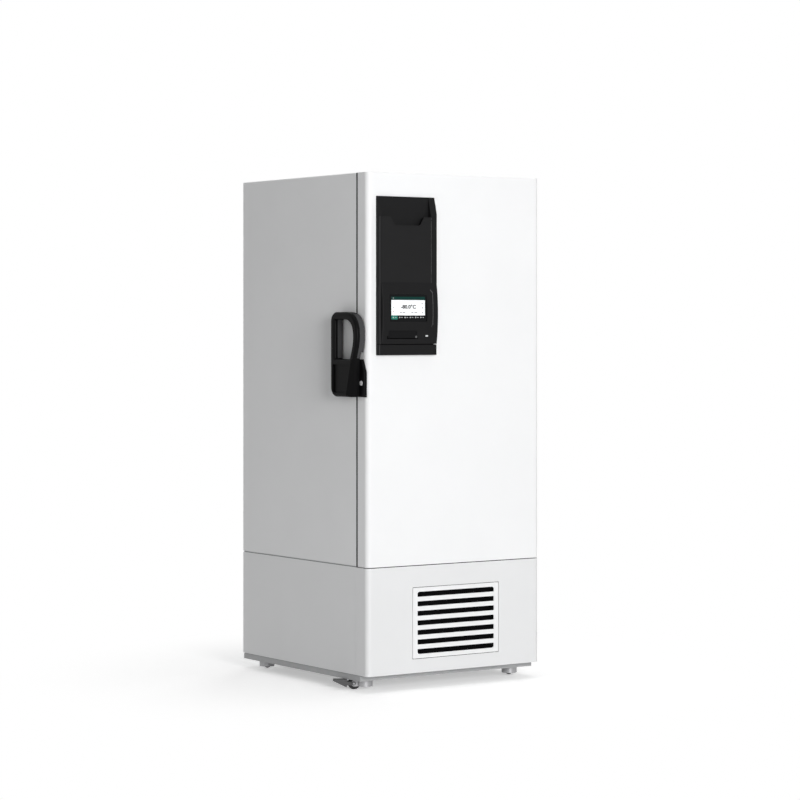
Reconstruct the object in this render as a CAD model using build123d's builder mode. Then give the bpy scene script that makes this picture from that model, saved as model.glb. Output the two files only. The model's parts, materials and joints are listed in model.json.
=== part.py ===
"""Upright ultra low temperature freezer: cabinet, door with latch handle, machine compartment and casters.

Millimetres. +Z is up, the front faces -Y, and the origin is on the floor under the middle of the cabinet.
"""

import os
from math import cos, radians, sin

from build123d import *

os.makedirs("parts", exist_ok=True)

# Overall sizes
width = 805.0
depth = 895.0
height = 1945.0
panel_bottom = 62.0
seam_height = 467.0
seam_gap = 3.0
sheet = 2.0
edge_radius = 20.0
bend_radius = 3.0

# Door stack, counted back from the door's front face
door_thickness = 66.0
gasket_gap = 11.0
door_liner_thickness = 3.0
door_pad_thickness = 6.0
door_pad_margin = 70.0
gasket_inset = 26.0
gasket_width = 24.0
seat_clearance = 0.3

# Cabinet walls, from the outer faces to the storage space
side_wall = 150.0
back_wall = 135.0
top_wall = 110.0
bottom_wall = 95.0
liner_sheet = 1.5
evaporator_thickness = 2.0
evaporator_margin = 60.0
breaker_thickness = 6.0
foam_joint = 0.4

# Faces that follow from them
left = -width / 2
right = width / 2
front = -depth / 2
back = depth / 2
door_back = front + door_thickness
cabinet_front = door_back + gasket_gap
lower_top = seam_height - seam_gap / 2
upper_bottom = seam_height + seam_gap / 2
cavity_right = right - side_wall
cavity_left = -cavity_right
cavity_back = back - back_wall
cavity_top = height - top_wall
cavity_bottom = upper_bottom + bottom_wall
cavity_height = cavity_top - cavity_bottom
lined_right = cavity_right + liner_sheet
lined_back = cavity_back + liner_sheet
lined_top = cavity_top + liner_sheet
lined_bottom = cavity_bottom - liner_sheet
foam_front = cabinet_front + breaker_thickness

# Access port through the back wall
port_side_inset = 122.5
port_z = 1420.0
port_radius = 12.5
port_wall = 3.5
port_flange_radius = 26.0
port_flange = 3.0
port_x = cavity_right - port_side_inset
port_hole_radius = port_radius + port_wall + seat_clearance

# Shelves and inner doors
shelf_count = 3
shelf_thickness = 2.0
shelf_lip = 16.0
shelf_side_gap = 2.0
shelf_back_gap = 5.0
rail_width = 22.0
rail_thickness = 4.0
rail_end_gap = 12.0
rail_from_front = 110.0
rail_from_back = 90.0
clip_depth = 12.0
clip_height = 5.0
inner_door_thickness = 30.0
inner_door_gap = 5.0
inner_door_setback = 3.0
inner_door_middle_gap = 12.0
inner_door_edge_radius = 4.0
inner_door_rib = 2.5
inner_door_rib_margin = 40.0
inner_pivot_inset = 8.0
inner_pin_radius = 3.0
inner_pin_length = 12.0
inner_bracket_width = 22.0
inner_bracket_thickness = 3.0
pull_width = 16.0
pull_height = 90.0
pull_inset = 36.0
pull_depth = 12.0
running_clearance = 0.05

# Outer door hinges on the right side
hinge_end_inset = 172.0
hinge_height = 96.0
hinge_leaf = 4.0
hinge_leaf_length = 62.0
hinge_door_leaf_length = 42.0
hinge_edge_gap = 2.0
hinge_offset = 14.0
hinge_barrel_radius = 9.0
hinge_pin_radius = 5.0
hinge_knuckle_gap = 0.3

# Control panel on the door front, from the door's left edge and the floor
panel_x0 = 38.0
panel_x1 = 300.0
panel_z0 = 1261.0
panel_z1 = 1856.0
panel_back_plate = 6.0
panel_depth = 25.0
panel_corner = 3.0
panel_left_wall = 8.0
panel_right_wall = 28.0
pocket_ramp_z = 1785.0
pocket_floor_z = 1534.0
pocket_top_z = 1780.0
pocket_cover_thickness = 3.0
pocket_notch_width = 151.0
pocket_notch_floor = 116.0
pocket_notch_depth = 32.0
pocket_notch_shift = 5.0
display_z0 = 1303.0
display_z1 = 1530.0
display_bulge = 34.0
display_corner = 4.0
trim_gap = 2.0
trim_depth = 23.0
screen_x0 = 87.0
screen_x1 = 240.0
screen_z0 = 1395.0
screen_z1 = 1480.0
screen_border = 9.0
screen_glass = 3.0
screen_proud = 30.0
screen_corner = 5.0
flap_x0 = 75.0
flap_x1 = 203.0
flap_z0 = 1325.0
flap_z1 = 1352.0
flap_thickness = 3.0
flap_gap = 0.6
flap_recess = 8.0
flap_corner = 4.0
flap_pin_radius = 1.2
flap_pin_length = 2.5
flap_axis_rise = 4.0
flap_proud = 29.0
lens_x = 249.0
lens_z = 1333.0
lens_width = 12.0
lens_height = 6.0
lens_depth = 5.0
lens_gap = 0.2
lens_proud = 30.5

# Latch handle on the left side: distances behind the door face and above the floor
grip_rear = 187.0
grip_top = 1423.0
grip_bottom = 1105.0
grip_corner = 36.0
grip_tail_corner = 12.0
grip_bar = 28.0
grip_window_bottom = 1246.0
grip_front = 9.0
grip_front_z = 1318.0
grip_bow_start = 102.0
grip_neck = 30.0
grip_neck_lean = 20.0
grip_tail_front = 34.0
grip_outer = 44.0
grip_lift = 14.0
grip_foot_lift = 5.0
grip_foot_front = 86.0
grip_foot_z = 1272.0
grip_round = 8.0
facet_top = 46.0
facet_bottom = 82.0
facet_outer = 24.0
tray_depth = 8.0
tray_floor = 3.5
tray_rim = 14.0
tray_wall = 8.0
tray_recess_front = 57.0
tray_recess_lean = 29.0
tray_corner = 6.0
tray_recess_top = 1226.0
tray_under = grip_outer - tray_depth - tray_floor
facet_slope = (grip_outer - facet_outer) / (facet_bottom - grip_tail_front)
pivot_stud_end = 28.0
pivot_cap = 1.0

# Lock block, pivot and latch behind the handle
block_front = 4.0
block_rear = 64.0
block_slant_front = 25.0
block_slant_z = 1198.0
block_thickness = 12.0
block_round = 3.0
pivot_s = 52.0
pivot_z = 1180.0
pivot_radius = 6.0
lock_s = 24.5
lock_z = 1157.0
lock_radius = 9.4
lock_clearance = 0.08
lock_depth = 8.0
lock_proud = 1.5
keyway_width = 2.0
keyway_length = 9.0
keyway_depth = 4.0
strike_reach = 86.0
strike_angle = -10.0
strike_pin_radius = 5.0
strike_pin_height = 12.0
strike_plate = 3.0
strike_plate_size = 54.0
hook_clearance = 1.0
hook_width = 10.0
hook_from = 6.0
hook_to = 11.0
hook_tip_angle = -24.0
hook_root_angle = 16.0
hook_arm_angle = 9.0
hook_arm_reach = 66.0

# Grille in the lower front panel
grille_x0 = 204.0
grille_x1 = 609.0
grille_z0 = 114.0
grille_top_margin = 80.5
grille_gap = 2.0
grille_thickness = 3.0
grille_corner = 4.0
slot_margin = 15.5
slot_width = 358.0
slot_height = 19.0
slot_pitch = 36.0
slot_corner = 9.0
grille_pin_radius = 2.5
grille_pin_length = 9.0
grille_pin_rise = 10.0
grille_pin_setback = 7.0
grille_ear = 8.0
ear_side_gap = 1.0

# Base, posts and lower panels
pan_thickness = 4.0
skirt_drop = 22.0
skirt_sheet = 1.5
skirt_setback = 50.0
skirt_rear_setback = 6.0
skirt_joint = 0.3
skirt_gap = 2.5
post_size = 40.0
fascia_flange = 24.0
vent_columns = 2
vent_bottom_margin = 124.5
vent_top_margin = 42.0
vent_width = 210.0
vent_height = 7.0
vent_pitch_x = 300.0
vent_pitch_z = 20.0

# Casters
caster_inset_x = 62.0
caster_inset_front = 112.0
caster_inset_back = 80.0
caster_trail = 40.0
wheel_radius = 24.0
wheel_width = 20.0
wheel_crown = 3.0
hub_radius = 15.0
hub_recess = 2.0
axle_radius = 4.0
fork_bottom = 13.0
fork_top = 36.0
fork_leg = 4.0
fork_side_gap = 1.0
fork_head_radius = 30.0
fork_end_radius = 11.0
fork_wheel_gap = 2.5
kingpin_radius = 6.0
kingpin_length = 14.0
boss_radius = 14.0
plate_size = 66.0
plate_thickness = 4.0
pedal_arm = 3.0
pedal_gap = 0.3
pedal_start = 67.0
pedal_end = 120.0
pedal_top = 38.5
pedal_toe_bottom = 34.0
pedal_heel_bottom = 9.0
pedal_arm_height = 14.0
caster_spots = {
    "front_left": (-1, -1, (-0.824, 0.566)),
    "front_right": (1, -1, (0.566, 0.824)),
    "rear_left": (-1, 1, (0.566, 0.824)),
    "rear_right": (1, 1, (0.35, 0.937)),
}

# Machine compartment
filter_thickness = 12.0
filter_setback = 28.0
filter_frame_width = 14.0
filter_relief = 3.0
condenser_side_room = 202.5
condenser_headroom = 59.5
condenser_depth = 70.0
condenser_rise = 24.0
condenser_end_plate = 4.0
fin_pitch = 12.0
fin_gap = 4.0
fin_depth = 10.0
bend_count = 5
bend_pipe_radius = 5.0
bend_pitch = 56.0
bend_reach = 14.0
shroud_plate = 3.0
shroud_collar = 12.0
fan_side_room = 28.0
fan_tip_gap = 8.0
fan_hub_radius = 30.0
fan_hub_length = 30.0
fan_blades = 5
fan_blade_chord = 70.0
fan_blade_thickness = 3.0
fan_blade_twist = 28.0
fan_setback = 20.0
motor_radius = 42.0
motor_length = 60.0
motor_gap = 8.0
motor_shaft_radius = 4.0
motor_arms = 3
motor_arm_width = 14.0
motor_arm_thickness = 5.0
motor_leg_room = 18.0
compressor_side_inset = 212.5
compressor_rear = 357.5
compressor_radius = 92.0
compressor_height = 250.0
compressor_dome = 40.0
compressor_foot = 200.0
compressor_foot_thickness = 4.0
compressor_seam = 6.0
compressor_seam_height = 12.0
compressor_stub_radius = 7.0
compressor_stub_length = 30.0
compressor_cover_width = 80.0
compressor_cover_height = 90.0
compressor_cover_depth = 24.0
grommet_radius = 13.0
grommet_height = 14.0
grommet_pitch = 165.0
grommet_waist = 2.0
exchanger_width = 110.0
exchanger_depth = 90.0
exchanger_headroom = 106.5
exchanger_rear = 147.5
exchanger_groove = 4.0
exchanger_groove_pitch = 18.0
exchanger_port_radius = 9.0
exchanger_port_length = 22.0
box_width = 240.0
box_depth = 60.0
box_height = 200.0
box_rear = 327.5
box_z = 250.0
box_groove = 4.0
box_groove_pitch = 16.0
box_groove_count = 9
inlet_x = -30.0
inlet_z = 130.0
inlet_width = 52.0
inlet_height = 44.0
inlet_flange = 4.0
inlet_margin = 9.0
inlet_depth = 28.0
inlet_wall = 3.0
inlet_clearance = 0.5
inlet_blade_width = 5.0
inlet_blade_thickness = 2.0
inlet_blade_pitch = 14.0
spacer_width = 70.0
spacer_height = 120.0
spacer_depth = 34.0
spacer_side_inset = 102.5
spacer_bottom_inset = 250.0
spacer_top_inset = 165.0
spacer_draft = 12.0
probe_x = -160.0
probe_drop = 46.0
probe_radius = 4.0
probe_length = 70.0
probe_base_radius = 12.0
probe_base = 8.0


def at_depth(behind):
    """Y of a place counted back from the door's front face."""
    return front + behind


def from_left(distance):
    """X of a place counted from the door's left edge."""
    return left + distance


def front_plane(y):
    """Upright plane at a given Y with its sketch in X and Z and its normal pointing forward."""
    return Plane.XZ.offset(-y)


def side_plane(proud):
    """Upright plane outside the left side: its sketch is in Y and Z, its normal points inward."""
    return Plane.YZ.offset(left - proud)


def block(x0, x1, y0, y1, z0, z1, mode=Mode.ADD):
    """Add or cut the block between two corners in the part being built."""
    with Locations(((x0 + x1) / 2, (y0 + y1) / 2, (z0 + z1) / 2)):
        Box(x1 - x0, y1 - y0, z1 - z0, mode=mode)


def write(piece, name):
    """Label a finished piece and write it to its own file."""
    piece.part.label = name
    export_step(piece.part, f"parts/{name}.step")


# Cabinet shell: folded outer sheet, closed on four sides
with BuildPart() as cabinet_shell:
    with BuildSketch(front_plane(back)):
        with Locations((0, (upper_bottom + height) / 2)):
            RectangleRounded(width, height - upper_bottom, bend_radius + sheet)
            RectangleRounded(
                width - 2 * sheet, height - upper_bottom - 2 * sheet, bend_radius, mode=Mode.SUBTRACT
            )
    extrude(amount=back - cabinet_front)
write(cabinet_shell, "cabinet_shell")

# Rear panel: flat sheet let into the shell, with the access port's hole
with BuildPart() as rear_panel:
    with BuildSketch(front_plane(back)):
        with Locations((0, (upper_bottom + height) / 2)):
            RectangleRounded(width - 2 * sheet, height - upper_bottom - 2 * sheet, bend_radius)
        with Locations((port_x, port_z)):
            Circle(port_hole_radius, mode=Mode.SUBTRACT)
    extrude(amount=sheet)
write(rear_panel, "rear_panel")

# Foam in the cabinet walls: two sides, top, bottom and back, as boards with fine joints between them
foam_top = height - sheet
foam_floor = upper_bottom + sheet
foam_back = back - sheet
foam_side_inner = lined_right + evaporator_thickness
foam_back_inner = lined_back + evaporator_thickness
with BuildPart() as cabinet_insulation:
    block(left + sheet, right - sheet, foam_front, foam_back, lined_top, foam_top)
    for inner, outer in ((-foam_side_inner, left + sheet), (foam_side_inner, right - sheet)):
        block(min(inner, outer), max(inner, outer), foam_front, foam_back, foam_floor, lined_top - foam_joint)
    board_x = foam_side_inner - foam_joint
    block(-board_x, board_x, foam_front, foam_back, foam_floor, lined_bottom)
    block(-board_x, board_x, foam_back_inner, foam_back, lined_bottom + foam_joint, lined_top - foam_joint)
    with BuildSketch(front_plane(foam_back)):
        with Locations((port_x, port_z)):
            Circle(port_hole_radius)
    extrude(amount=foam_back - foam_back_inner, mode=Mode.SUBTRACT)
    with BuildSketch(front_plane(foam_back)):
        with Locations((0, (foam_floor + foam_top) / 2)):
            RectangleRounded(width - 2 * sheet, foam_top - foam_floor, bend_radius)
    extrude(amount=foam_back - foam_front, mode=Mode.INTERSECT)
write(cabinet_insulation, "cabinet_insulation")

# Inner liner: five-sided steel box, open at the front
with BuildPart() as inner_liner:
    block(-lined_right, lined_right, foam_front, lined_back, lined_bottom, lined_top)
    block(cavity_left, cavity_right, foam_front, cavity_back, cavity_bottom, cavity_top, mode=Mode.SUBTRACT)
    with BuildSketch(front_plane(lined_back)):
        with Locations((port_x, port_z)):
            Circle(port_hole_radius)
    extrude(amount=liner_sheet, mode=Mode.SUBTRACT)
write(inner_liner, "inner_liner")

# Evaporator plates: flat cold plates behind the liner's two sides and its back
plate_bottom = cavity_bottom + evaporator_margin
plate_top = cavity_top - evaporator_margin
plate_rear = cavity_back - evaporator_margin
with BuildPart() as evaporator_plates:
    for inner in (lined_right, -foam_side_inner):
        plate_y = (foam_front + evaporator_margin, plate_rear)
        block(inner, inner + evaporator_thickness, *plate_y, plate_bottom, plate_top)
    plate_x = cavity_right - evaporator_margin
    block(-plate_x, plate_x, lined_back, foam_back_inner, plate_bottom, plate_top)
    with BuildSketch(front_plane(foam_back_inner)):
        with Locations((port_x, port_z)):
            Circle(port_hole_radius)
    extrude(amount=evaporator_thickness, mode=Mode.SUBTRACT)
write(evaporator_plates, "evaporator_plates")

# Breaker frame: plastic frame round the mouth, between the shell and the liner
with BuildPart() as breaker_frame:
    with BuildSketch(front_plane(foam_front)):
        with Locations((0, (foam_floor + foam_top) / 2)):
            RectangleRounded(width - 2 * sheet, foam_top - foam_floor, bend_radius)
        with Locations((0, (cavity_bottom + cavity_top) / 2)):
            Rectangle(cavity_right - cavity_left, cavity_height, mode=Mode.SUBTRACT)
    extrude(amount=breaker_thickness)
write(breaker_frame, "breaker_frame")

# Access port: sleeve through the back wall with a flange inside and outside
with BuildPart() as access_port_sleeve:
    with BuildSketch(front_plane(back + port_flange)):
        with Locations((port_x, port_z)):
            Circle(port_radius + port_wall)
    extrude(amount=back - cavity_back + 2 * port_flange)
    for flange_back in (back + port_flange, cavity_back):
        with BuildSketch(front_plane(flange_back)):
            with Locations((port_x, port_z)):
                Circle(port_flange_radius)
        extrude(amount=port_flange)
    with BuildSketch(front_plane(back + port_flange)):
        with Locations((port_x, port_z)):
            Circle(port_radius)
    extrude(amount=back - cavity_back + 2 * port_flange, mode=Mode.SUBTRACT)
write(access_port_sleeve, "access_port_sleeve")

# Temperature probe on the liner's back wall
with BuildPart() as temperature_probe:
    with BuildSketch(front_plane(cavity_back)):
        with Locations((probe_x, cavity_top - probe_drop)):
            Circle(probe_base_radius)
    extrude(amount=probe_base)
    with BuildSketch(front_plane(cavity_back - probe_base)):
        with Locations((probe_x, cavity_top - probe_drop)):
            Circle(probe_radius)
    extrude(amount=probe_length)
    fillet(temperature_probe.faces().sort_by(Axis.Y)[0].edges(), radius=probe_radius / 2)
write(temperature_probe, "temperature_probe")

# Shelf rails: four slotted uprights with a clip under each shelf corner
shelf_heights = [cavity_bottom + cavity_height * (i + 1) / (shelf_count + 1) for i in range(shelf_count)]
rail_front_y = cabinet_front + rail_from_front
rail_back_y = cavity_back - rail_from_back
with BuildPart() as shelf_rails:
    for y in (rail_front_y, rail_back_y):
        for side in (-1, 1):
            wall = side * cavity_right
            face = side * (cavity_right - rail_thickness)
            reach = side * (cavity_right - rail_thickness - clip_depth)
            rail_y = (y - rail_width / 2, y + rail_width / 2)
            rail_z = (cavity_bottom + rail_end_gap, cavity_top - rail_end_gap)
            block(min(wall, face), max(wall, face), *rail_y, *rail_z)
            for z in shelf_heights:
                clip_top = z - shelf_lip
                block(min(face, reach), max(face, reach), *rail_y, clip_top - clip_height, clip_top)
write(shelf_rails, "shelf_rails")

# Shelves: steel trays turned down at all four edges
shelf_x = cavity_right - rail_thickness - shelf_side_gap
shelf_front = cabinet_front + inner_door_setback + inner_door_thickness + inner_door_gap
shelf_back = cavity_back - shelf_back_gap
with BuildPart() as shelves:
    for z in shelf_heights:
        block(-shelf_x, shelf_x, shelf_front, shelf_back, z - shelf_lip, z)
        block(
            shelf_thickness - shelf_x,
            shelf_x - shelf_thickness,
            shelf_front + shelf_thickness,
            shelf_back - shelf_thickness,
            z - shelf_lip,
            z - shelf_thickness,
            mode=Mode.SUBTRACT,
        )
write(shelves, "shelves")

# Inner doors: two insulated doors in the mouth, each turning on two upright pins at the right
inner_x0 = cavity_left + inner_door_gap
inner_x1 = cavity_right - inner_door_gap
inner_y0 = cabinet_front + inner_door_setback
inner_y1 = inner_y0 + inner_door_thickness
inner_pivot_x = inner_x1 - inner_pivot_inset
inner_pivot_y = inner_y0 + inner_pivot_inset
inner_middle = (cavity_bottom + cavity_top) / 2
inner_door_spans = {
    "inner_door_lower": (cavity_bottom + inner_door_gap, inner_middle - inner_door_middle_gap / 2),
    "inner_door_upper": (inner_middle + inner_door_middle_gap / 2, cavity_top - inner_door_gap),
}
for name, (z0, z1) in inner_door_spans.items():
    with BuildPart() as inner_door:
        block(inner_x0, inner_x1, inner_y0, inner_y1, z0, z1)
        fillet(inner_door.edges().filter_by(Axis.Z), radius=inner_door_edge_radius)
        with BuildSketch(front_plane(inner_y0)):
            with Locations(((inner_x0 + inner_x1) / 2, (z0 + z1) / 2)):
                RectangleRounded(
                    inner_x1 - inner_x0 - 2 * inner_door_rib_margin,
                    z1 - z0 - 2 * inner_door_rib_margin,
                    inner_door_rib_margin / 2,
                )
        extrude(amount=-inner_door_rib, mode=Mode.SUBTRACT)
        with BuildSketch(front_plane(inner_y0)):
            with Locations((inner_x0 + pull_inset / 2, (z0 + z1) / 2)):
                SlotOverall(pull_height, pull_width, rotation=90)
        extrude(amount=-pull_depth, mode=Mode.SUBTRACT)
        for end in (z0, z1 - inner_pin_length):
            with BuildSketch(Plane.XY.offset(end)):
                with Locations((inner_pivot_x, inner_pivot_y)):
                    Circle(inner_pin_radius + running_clearance)
            extrude(amount=inner_pin_length, mode=Mode.SUBTRACT)
    write(inner_door, name)

# Inner door pivots: a floor, a middle and a ceiling bracket on the liner, with upright pins
bracket_x0 = cavity_right - inner_bracket_width
bracket_y = (inner_pivot_y - inner_bracket_width / 2, inner_pivot_y + inner_bracket_width / 2)
pin_end = inner_pin_length - inner_door_setback
with BuildPart() as inner_door_pivots:
    for z0, z1, pin0, pin1 in (
        (
            cavity_bottom,
            cavity_bottom + inner_bracket_thickness,
            cavity_bottom,
            cavity_bottom + inner_door_gap + pin_end,
        ),
        (
            inner_middle - inner_bracket_thickness / 2,
            inner_middle + inner_bracket_thickness / 2,
            inner_middle - inner_door_middle_gap / 2 - pin_end,
            inner_middle + inner_door_middle_gap / 2 + pin_end,
        ),
        (cavity_top - inner_bracket_thickness, cavity_top, cavity_top - inner_door_gap - pin_end, cavity_top),
    ):
        block(bracket_x0, cavity_right, *bracket_y, z0, z1)
        with BuildSketch(Plane.XY.offset(pin0)):
            with Locations((inner_pivot_x, inner_pivot_y)):
                Circle(inner_pin_radius)
        extrude(amount=pin1 - pin0)
write(inner_door_pivots, "inner_door_pivots")

# Door shell: folded tray with rounded upright edges, open at the back
door_height = height - upper_bottom
with BuildPart() as door_shell:
    with BuildSketch(Plane.XY.offset(upper_bottom)) as door_plan:
        with Locations((0, (front + door_back) / 2)):
            Rectangle(width, door_thickness)
        fillet(door_plan.vertices().group_by(Axis.Y)[0], radius=edge_radius)
    extrude(amount=door_height)
    offset(amount=-sheet, openings=door_shell.faces().sort_by(Axis.Y)[-1])
write(door_shell, "door_shell")

# Door foam, filling the shell up to the inner panel
door_foam_back = door_back - door_liner_thickness
with BuildPart() as door_insulation:
    with BuildSketch(Plane.XY.offset(upper_bottom + sheet)) as door_foam_plan:
        with Locations((0, (front + sheet + door_foam_back) / 2)):
            Rectangle(width - 2 * sheet, door_foam_back - front - sheet)
        fillet(door_foam_plan.vertices().group_by(Axis.Y)[0], radius=edge_radius - sheet)
    extrude(amount=door_height - 2 * sheet)
write(door_insulation, "door_insulation")

# Door inner panel with a raised pad inside the gasket
with BuildPart() as door_liner:
    block(left + sheet, right - sheet, door_foam_back, door_back, upper_bottom + sheet, height - sheet)
    with BuildSketch(front_plane(door_back + door_pad_thickness)):
        with Locations((0, (upper_bottom + height) / 2)):
            RectangleRounded(width - 2 * door_pad_margin, door_height - 2 * door_pad_margin, edge_radius)
    extrude(amount=door_pad_thickness)
    fillet(door_liner.faces().sort_by(Axis.Y)[-1].edges(), radius=door_pad_thickness / 2)
write(door_liner, "door_liner")

# Door gasket: soft frame between the inner panel and the breaker frame
gasket_corner = edge_radius + gasket_width
with BuildPart() as door_gasket:
    with BuildSketch(front_plane(cabinet_front - seat_clearance)):
        with Locations((0, (upper_bottom + height) / 2)):
            RectangleRounded(width - 2 * gasket_inset, door_height - 2 * gasket_inset, gasket_corner)
            RectangleRounded(
                width - 2 * (gasket_inset + gasket_width),
                door_height - 2 * (gasket_inset + gasket_width),
                gasket_corner - gasket_width,
                mode=Mode.SUBTRACT,
            )
    extrude(amount=gasket_gap - seat_clearance)
    fillet(door_gasket.faces().sort_by(Axis.Y)[-1].edges(), radius=gasket_gap / 3)
write(door_gasket, "door_gasket")

# Outer hinges: lift-off leaves, the pin fixed in the cabinet's lower knuckle
hinge_x = right + hinge_offset
hinge_y = (door_back + cabinet_front) / 2
lowest_hinge = upper_bottom + hinge_end_inset
highest_hinge = height - hinge_end_inset
hinge_heights = (lowest_hinge, (lowest_hinge + highest_hinge) / 2, highest_hinge)
half_hinge = (hinge_height - hinge_knuckle_gap) / 2
with BuildPart() as hinge_cabinet_leaves:
    for z in hinge_heights:
        bottom = z - hinge_height / 2
        leaf_y = cabinet_front + hinge_edge_gap
        block(right, right + hinge_leaf, leaf_y, leaf_y + hinge_leaf_length, bottom, bottom + hinge_height)
        block(right, hinge_x, hinge_y, leaf_y + hinge_leaf, bottom, bottom + half_hinge)
        with BuildSketch(Plane.XY.offset(bottom)):
            with Locations((hinge_x, hinge_y)):
                Circle(hinge_barrel_radius)
        extrude(amount=half_hinge)
        with BuildSketch(Plane.XY.offset(bottom)):
            with Locations((hinge_x, hinge_y)):
                Circle(hinge_pin_radius)
        extrude(amount=hinge_height)
write(hinge_cabinet_leaves, "hinge_cabinet_leaves")

with BuildPart() as hinge_door_leaves:
    for z in hinge_heights:
        top = z + hinge_height / 2
        leaf_y = door_back - hinge_edge_gap
        block(right, right + hinge_leaf, leaf_y - hinge_door_leaf_length, leaf_y, top - hinge_height, top)
        block(right, hinge_x, leaf_y - hinge_leaf, hinge_y, top - half_hinge, top)
        with BuildSketch(Plane.XY.offset(top)):
            with Locations((hinge_x, hinge_y)):
                Circle(hinge_barrel_radius)
        extrude(amount=-half_hinge)
        with BuildSketch(Plane.XY.offset(top)):
            with Locations((hinge_x, hinge_y)):
                Circle(hinge_pin_radius + running_clearance)
        extrude(amount=-half_hinge, mode=Mode.SUBTRACT)
write(hinge_door_leaves, "hinge_door_leaves")

# Control panel housing: back plate and side walls, ramped down at the pocket's mouth
panel_left = from_left(panel_x0)
panel_right = from_left(panel_x1)
panel_face = front - panel_depth
pocket_left = panel_left + panel_left_wall
pocket_right = panel_right - panel_right_wall
plate_face = front - panel_back_plate
with BuildPart() as panel_housing:
    with BuildSketch(Plane.XY.offset(display_z0)) as housing_plan:
        with Locations(((panel_left + panel_right) / 2, (front + panel_face) / 2)):
            Rectangle(panel_right - panel_left, panel_depth)
        fillet(housing_plan.vertices().group_by(Axis.Y)[0], radius=panel_corner)
    extrude(amount=panel_z1 - display_z0)
    with BuildSketch(Plane.YZ.offset(panel_left)):
        with BuildLine():
            Polyline(
                (front, display_z0),
                (panel_face, display_z0),
                (panel_face, pocket_ramp_z),
                (plate_face, panel_z1),
                (front, panel_z1),
                close=True,
            )
        make_face()
    extrude(amount=panel_right - panel_left, mode=Mode.INTERSECT)
    block(pocket_left, pocket_right, panel_face, plate_face, pocket_floor_z, panel_z1, mode=Mode.SUBTRACT)
    block(pocket_left, panel_right, panel_face, plate_face, display_z0, display_z1, mode=Mode.SUBTRACT)
write(panel_housing, "panel_housing")

# Document pocket cover with a scooped notch in its top edge
notch_x = (pocket_left + pocket_right) / 2 + pocket_notch_shift
with BuildPart() as pocket_cover:
    with BuildSketch(front_plane(panel_face + pocket_cover_thickness)) as cover_outline:
        with BuildLine():
            Polyline(
                (pocket_left, pocket_floor_z),
                (pocket_left, pocket_top_z),
                (notch_x - pocket_notch_width / 2, pocket_top_z),
                (notch_x - pocket_notch_floor / 2, pocket_top_z - pocket_notch_depth),
                (notch_x + pocket_notch_floor / 2, pocket_top_z - pocket_notch_depth),
                (notch_x + pocket_notch_width / 2, pocket_top_z),
                (pocket_right, pocket_top_z),
                (pocket_right, pocket_floor_z),
                close=True,
            )
        make_face()
        notch_corners = cover_outline.vertices().filter_by_position(
            Axis.X, notch_x - pocket_notch_width / 2, notch_x + pocket_notch_width / 2
        )
        fillet(notch_corners, radius=pocket_notch_depth / 3)
    extrude(amount=pocket_cover_thickness)
write(pocket_cover, "pocket_cover")

# Display module: bowed front with a seat for the screen, a slot for the service flap and a lamp window
display_middle = (display_z0 + display_z1) / 2
screen_middle = (from_left((screen_x0 + screen_x1) / 2), (screen_z0 + screen_z1) / 2)
screen_size = (screen_x1 - screen_x0 + 2 * screen_border, screen_z1 - screen_z0 + 2 * screen_border)
flap_middle = (from_left((flap_x0 + flap_x1) / 2), (flap_z0 + flap_z1) / 2)
flap_size = (flap_x1 - flap_x0, flap_z1 - flap_z0)
flap_back = front - flap_proud + flap_thickness
flap_axis_y = front - flap_proud + flap_thickness / 2
flap_axis_z = flap_z0 + flap_axis_rise
flap_pin_reach = flap_size[0] / 2 + flap_gap + flap_pin_length
with BuildPart() as display_bezel:
    with BuildSketch(Plane.YZ.offset(pocket_left)):
        with BuildLine():
            ThreePointArc(
                (panel_face, display_z0), (front - display_bulge, display_middle), (panel_face, display_z1)
            )
            Polyline(
                (panel_face, display_z1),
                (plate_face, display_z1),
                (plate_face, display_z0),
                (panel_face, display_z0),
            )
        make_face()
    extrude(amount=panel_right - pocket_left)
    bow_edges = display_bezel.edges().filter_by(GeomType.CIRCLE).sort_by(Axis.X)
    fillet(bow_edges, radius=display_corner)
    with BuildSketch(front_plane(front - screen_proud + screen_glass)):
        with Locations(screen_middle):
            RectangleRounded(*screen_size, screen_corner)
    extrude(amount=display_bulge, mode=Mode.SUBTRACT)
    with BuildSketch(front_plane(flap_back + flap_recess - flap_thickness)):
        with Locations(flap_middle):
            RectangleRounded(flap_size[0] + 2 * flap_gap, flap_size[1] + 2 * flap_gap, flap_corner + flap_gap)
    extrude(amount=display_bulge, mode=Mode.SUBTRACT)
    with BuildSketch(Plane.YZ.offset(flap_middle[0])):
        with Locations((flap_axis_y, flap_axis_z)):
            Circle(flap_pin_radius + running_clearance)
    extrude(amount=flap_pin_reach, both=True, mode=Mode.SUBTRACT)
    with BuildSketch(front_plane(front - lens_proud + lens_depth)):
        with Locations((from_left(lens_x), lens_z)):
            SlotOverall(lens_width + 2 * lens_gap, lens_height + 2 * lens_gap)
    extrude(amount=display_bulge, mode=Mode.SUBTRACT)
write(display_bezel, "display_bezel")

# Touch screen glass in its seat
with BuildPart() as touch_screen:
    with BuildSketch(front_plane(front - screen_proud + screen_glass)):
        with Locations(screen_middle):
            RectangleRounded(screen_size[0] - 2 * lens_gap, screen_size[1] - 2 * lens_gap, screen_corner)
    extrude(amount=screen_glass)
write(touch_screen, "touch_screen")

# Service flap: rounded cover turning on two end pins along its lower edge
with BuildPart() as port_flap:
    with BuildSketch(front_plane(flap_back)):
        with Locations(flap_middle):
            RectangleRounded(*flap_size, flap_corner)
    extrude(amount=flap_thickness)
    with BuildSketch(Plane.YZ.offset(flap_middle[0])):
        with Locations((flap_axis_y, flap_axis_z)):
            Circle(flap_pin_radius)
    extrude(amount=flap_pin_reach - flap_gap, both=True)
write(port_flap, "port_flap")

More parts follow.
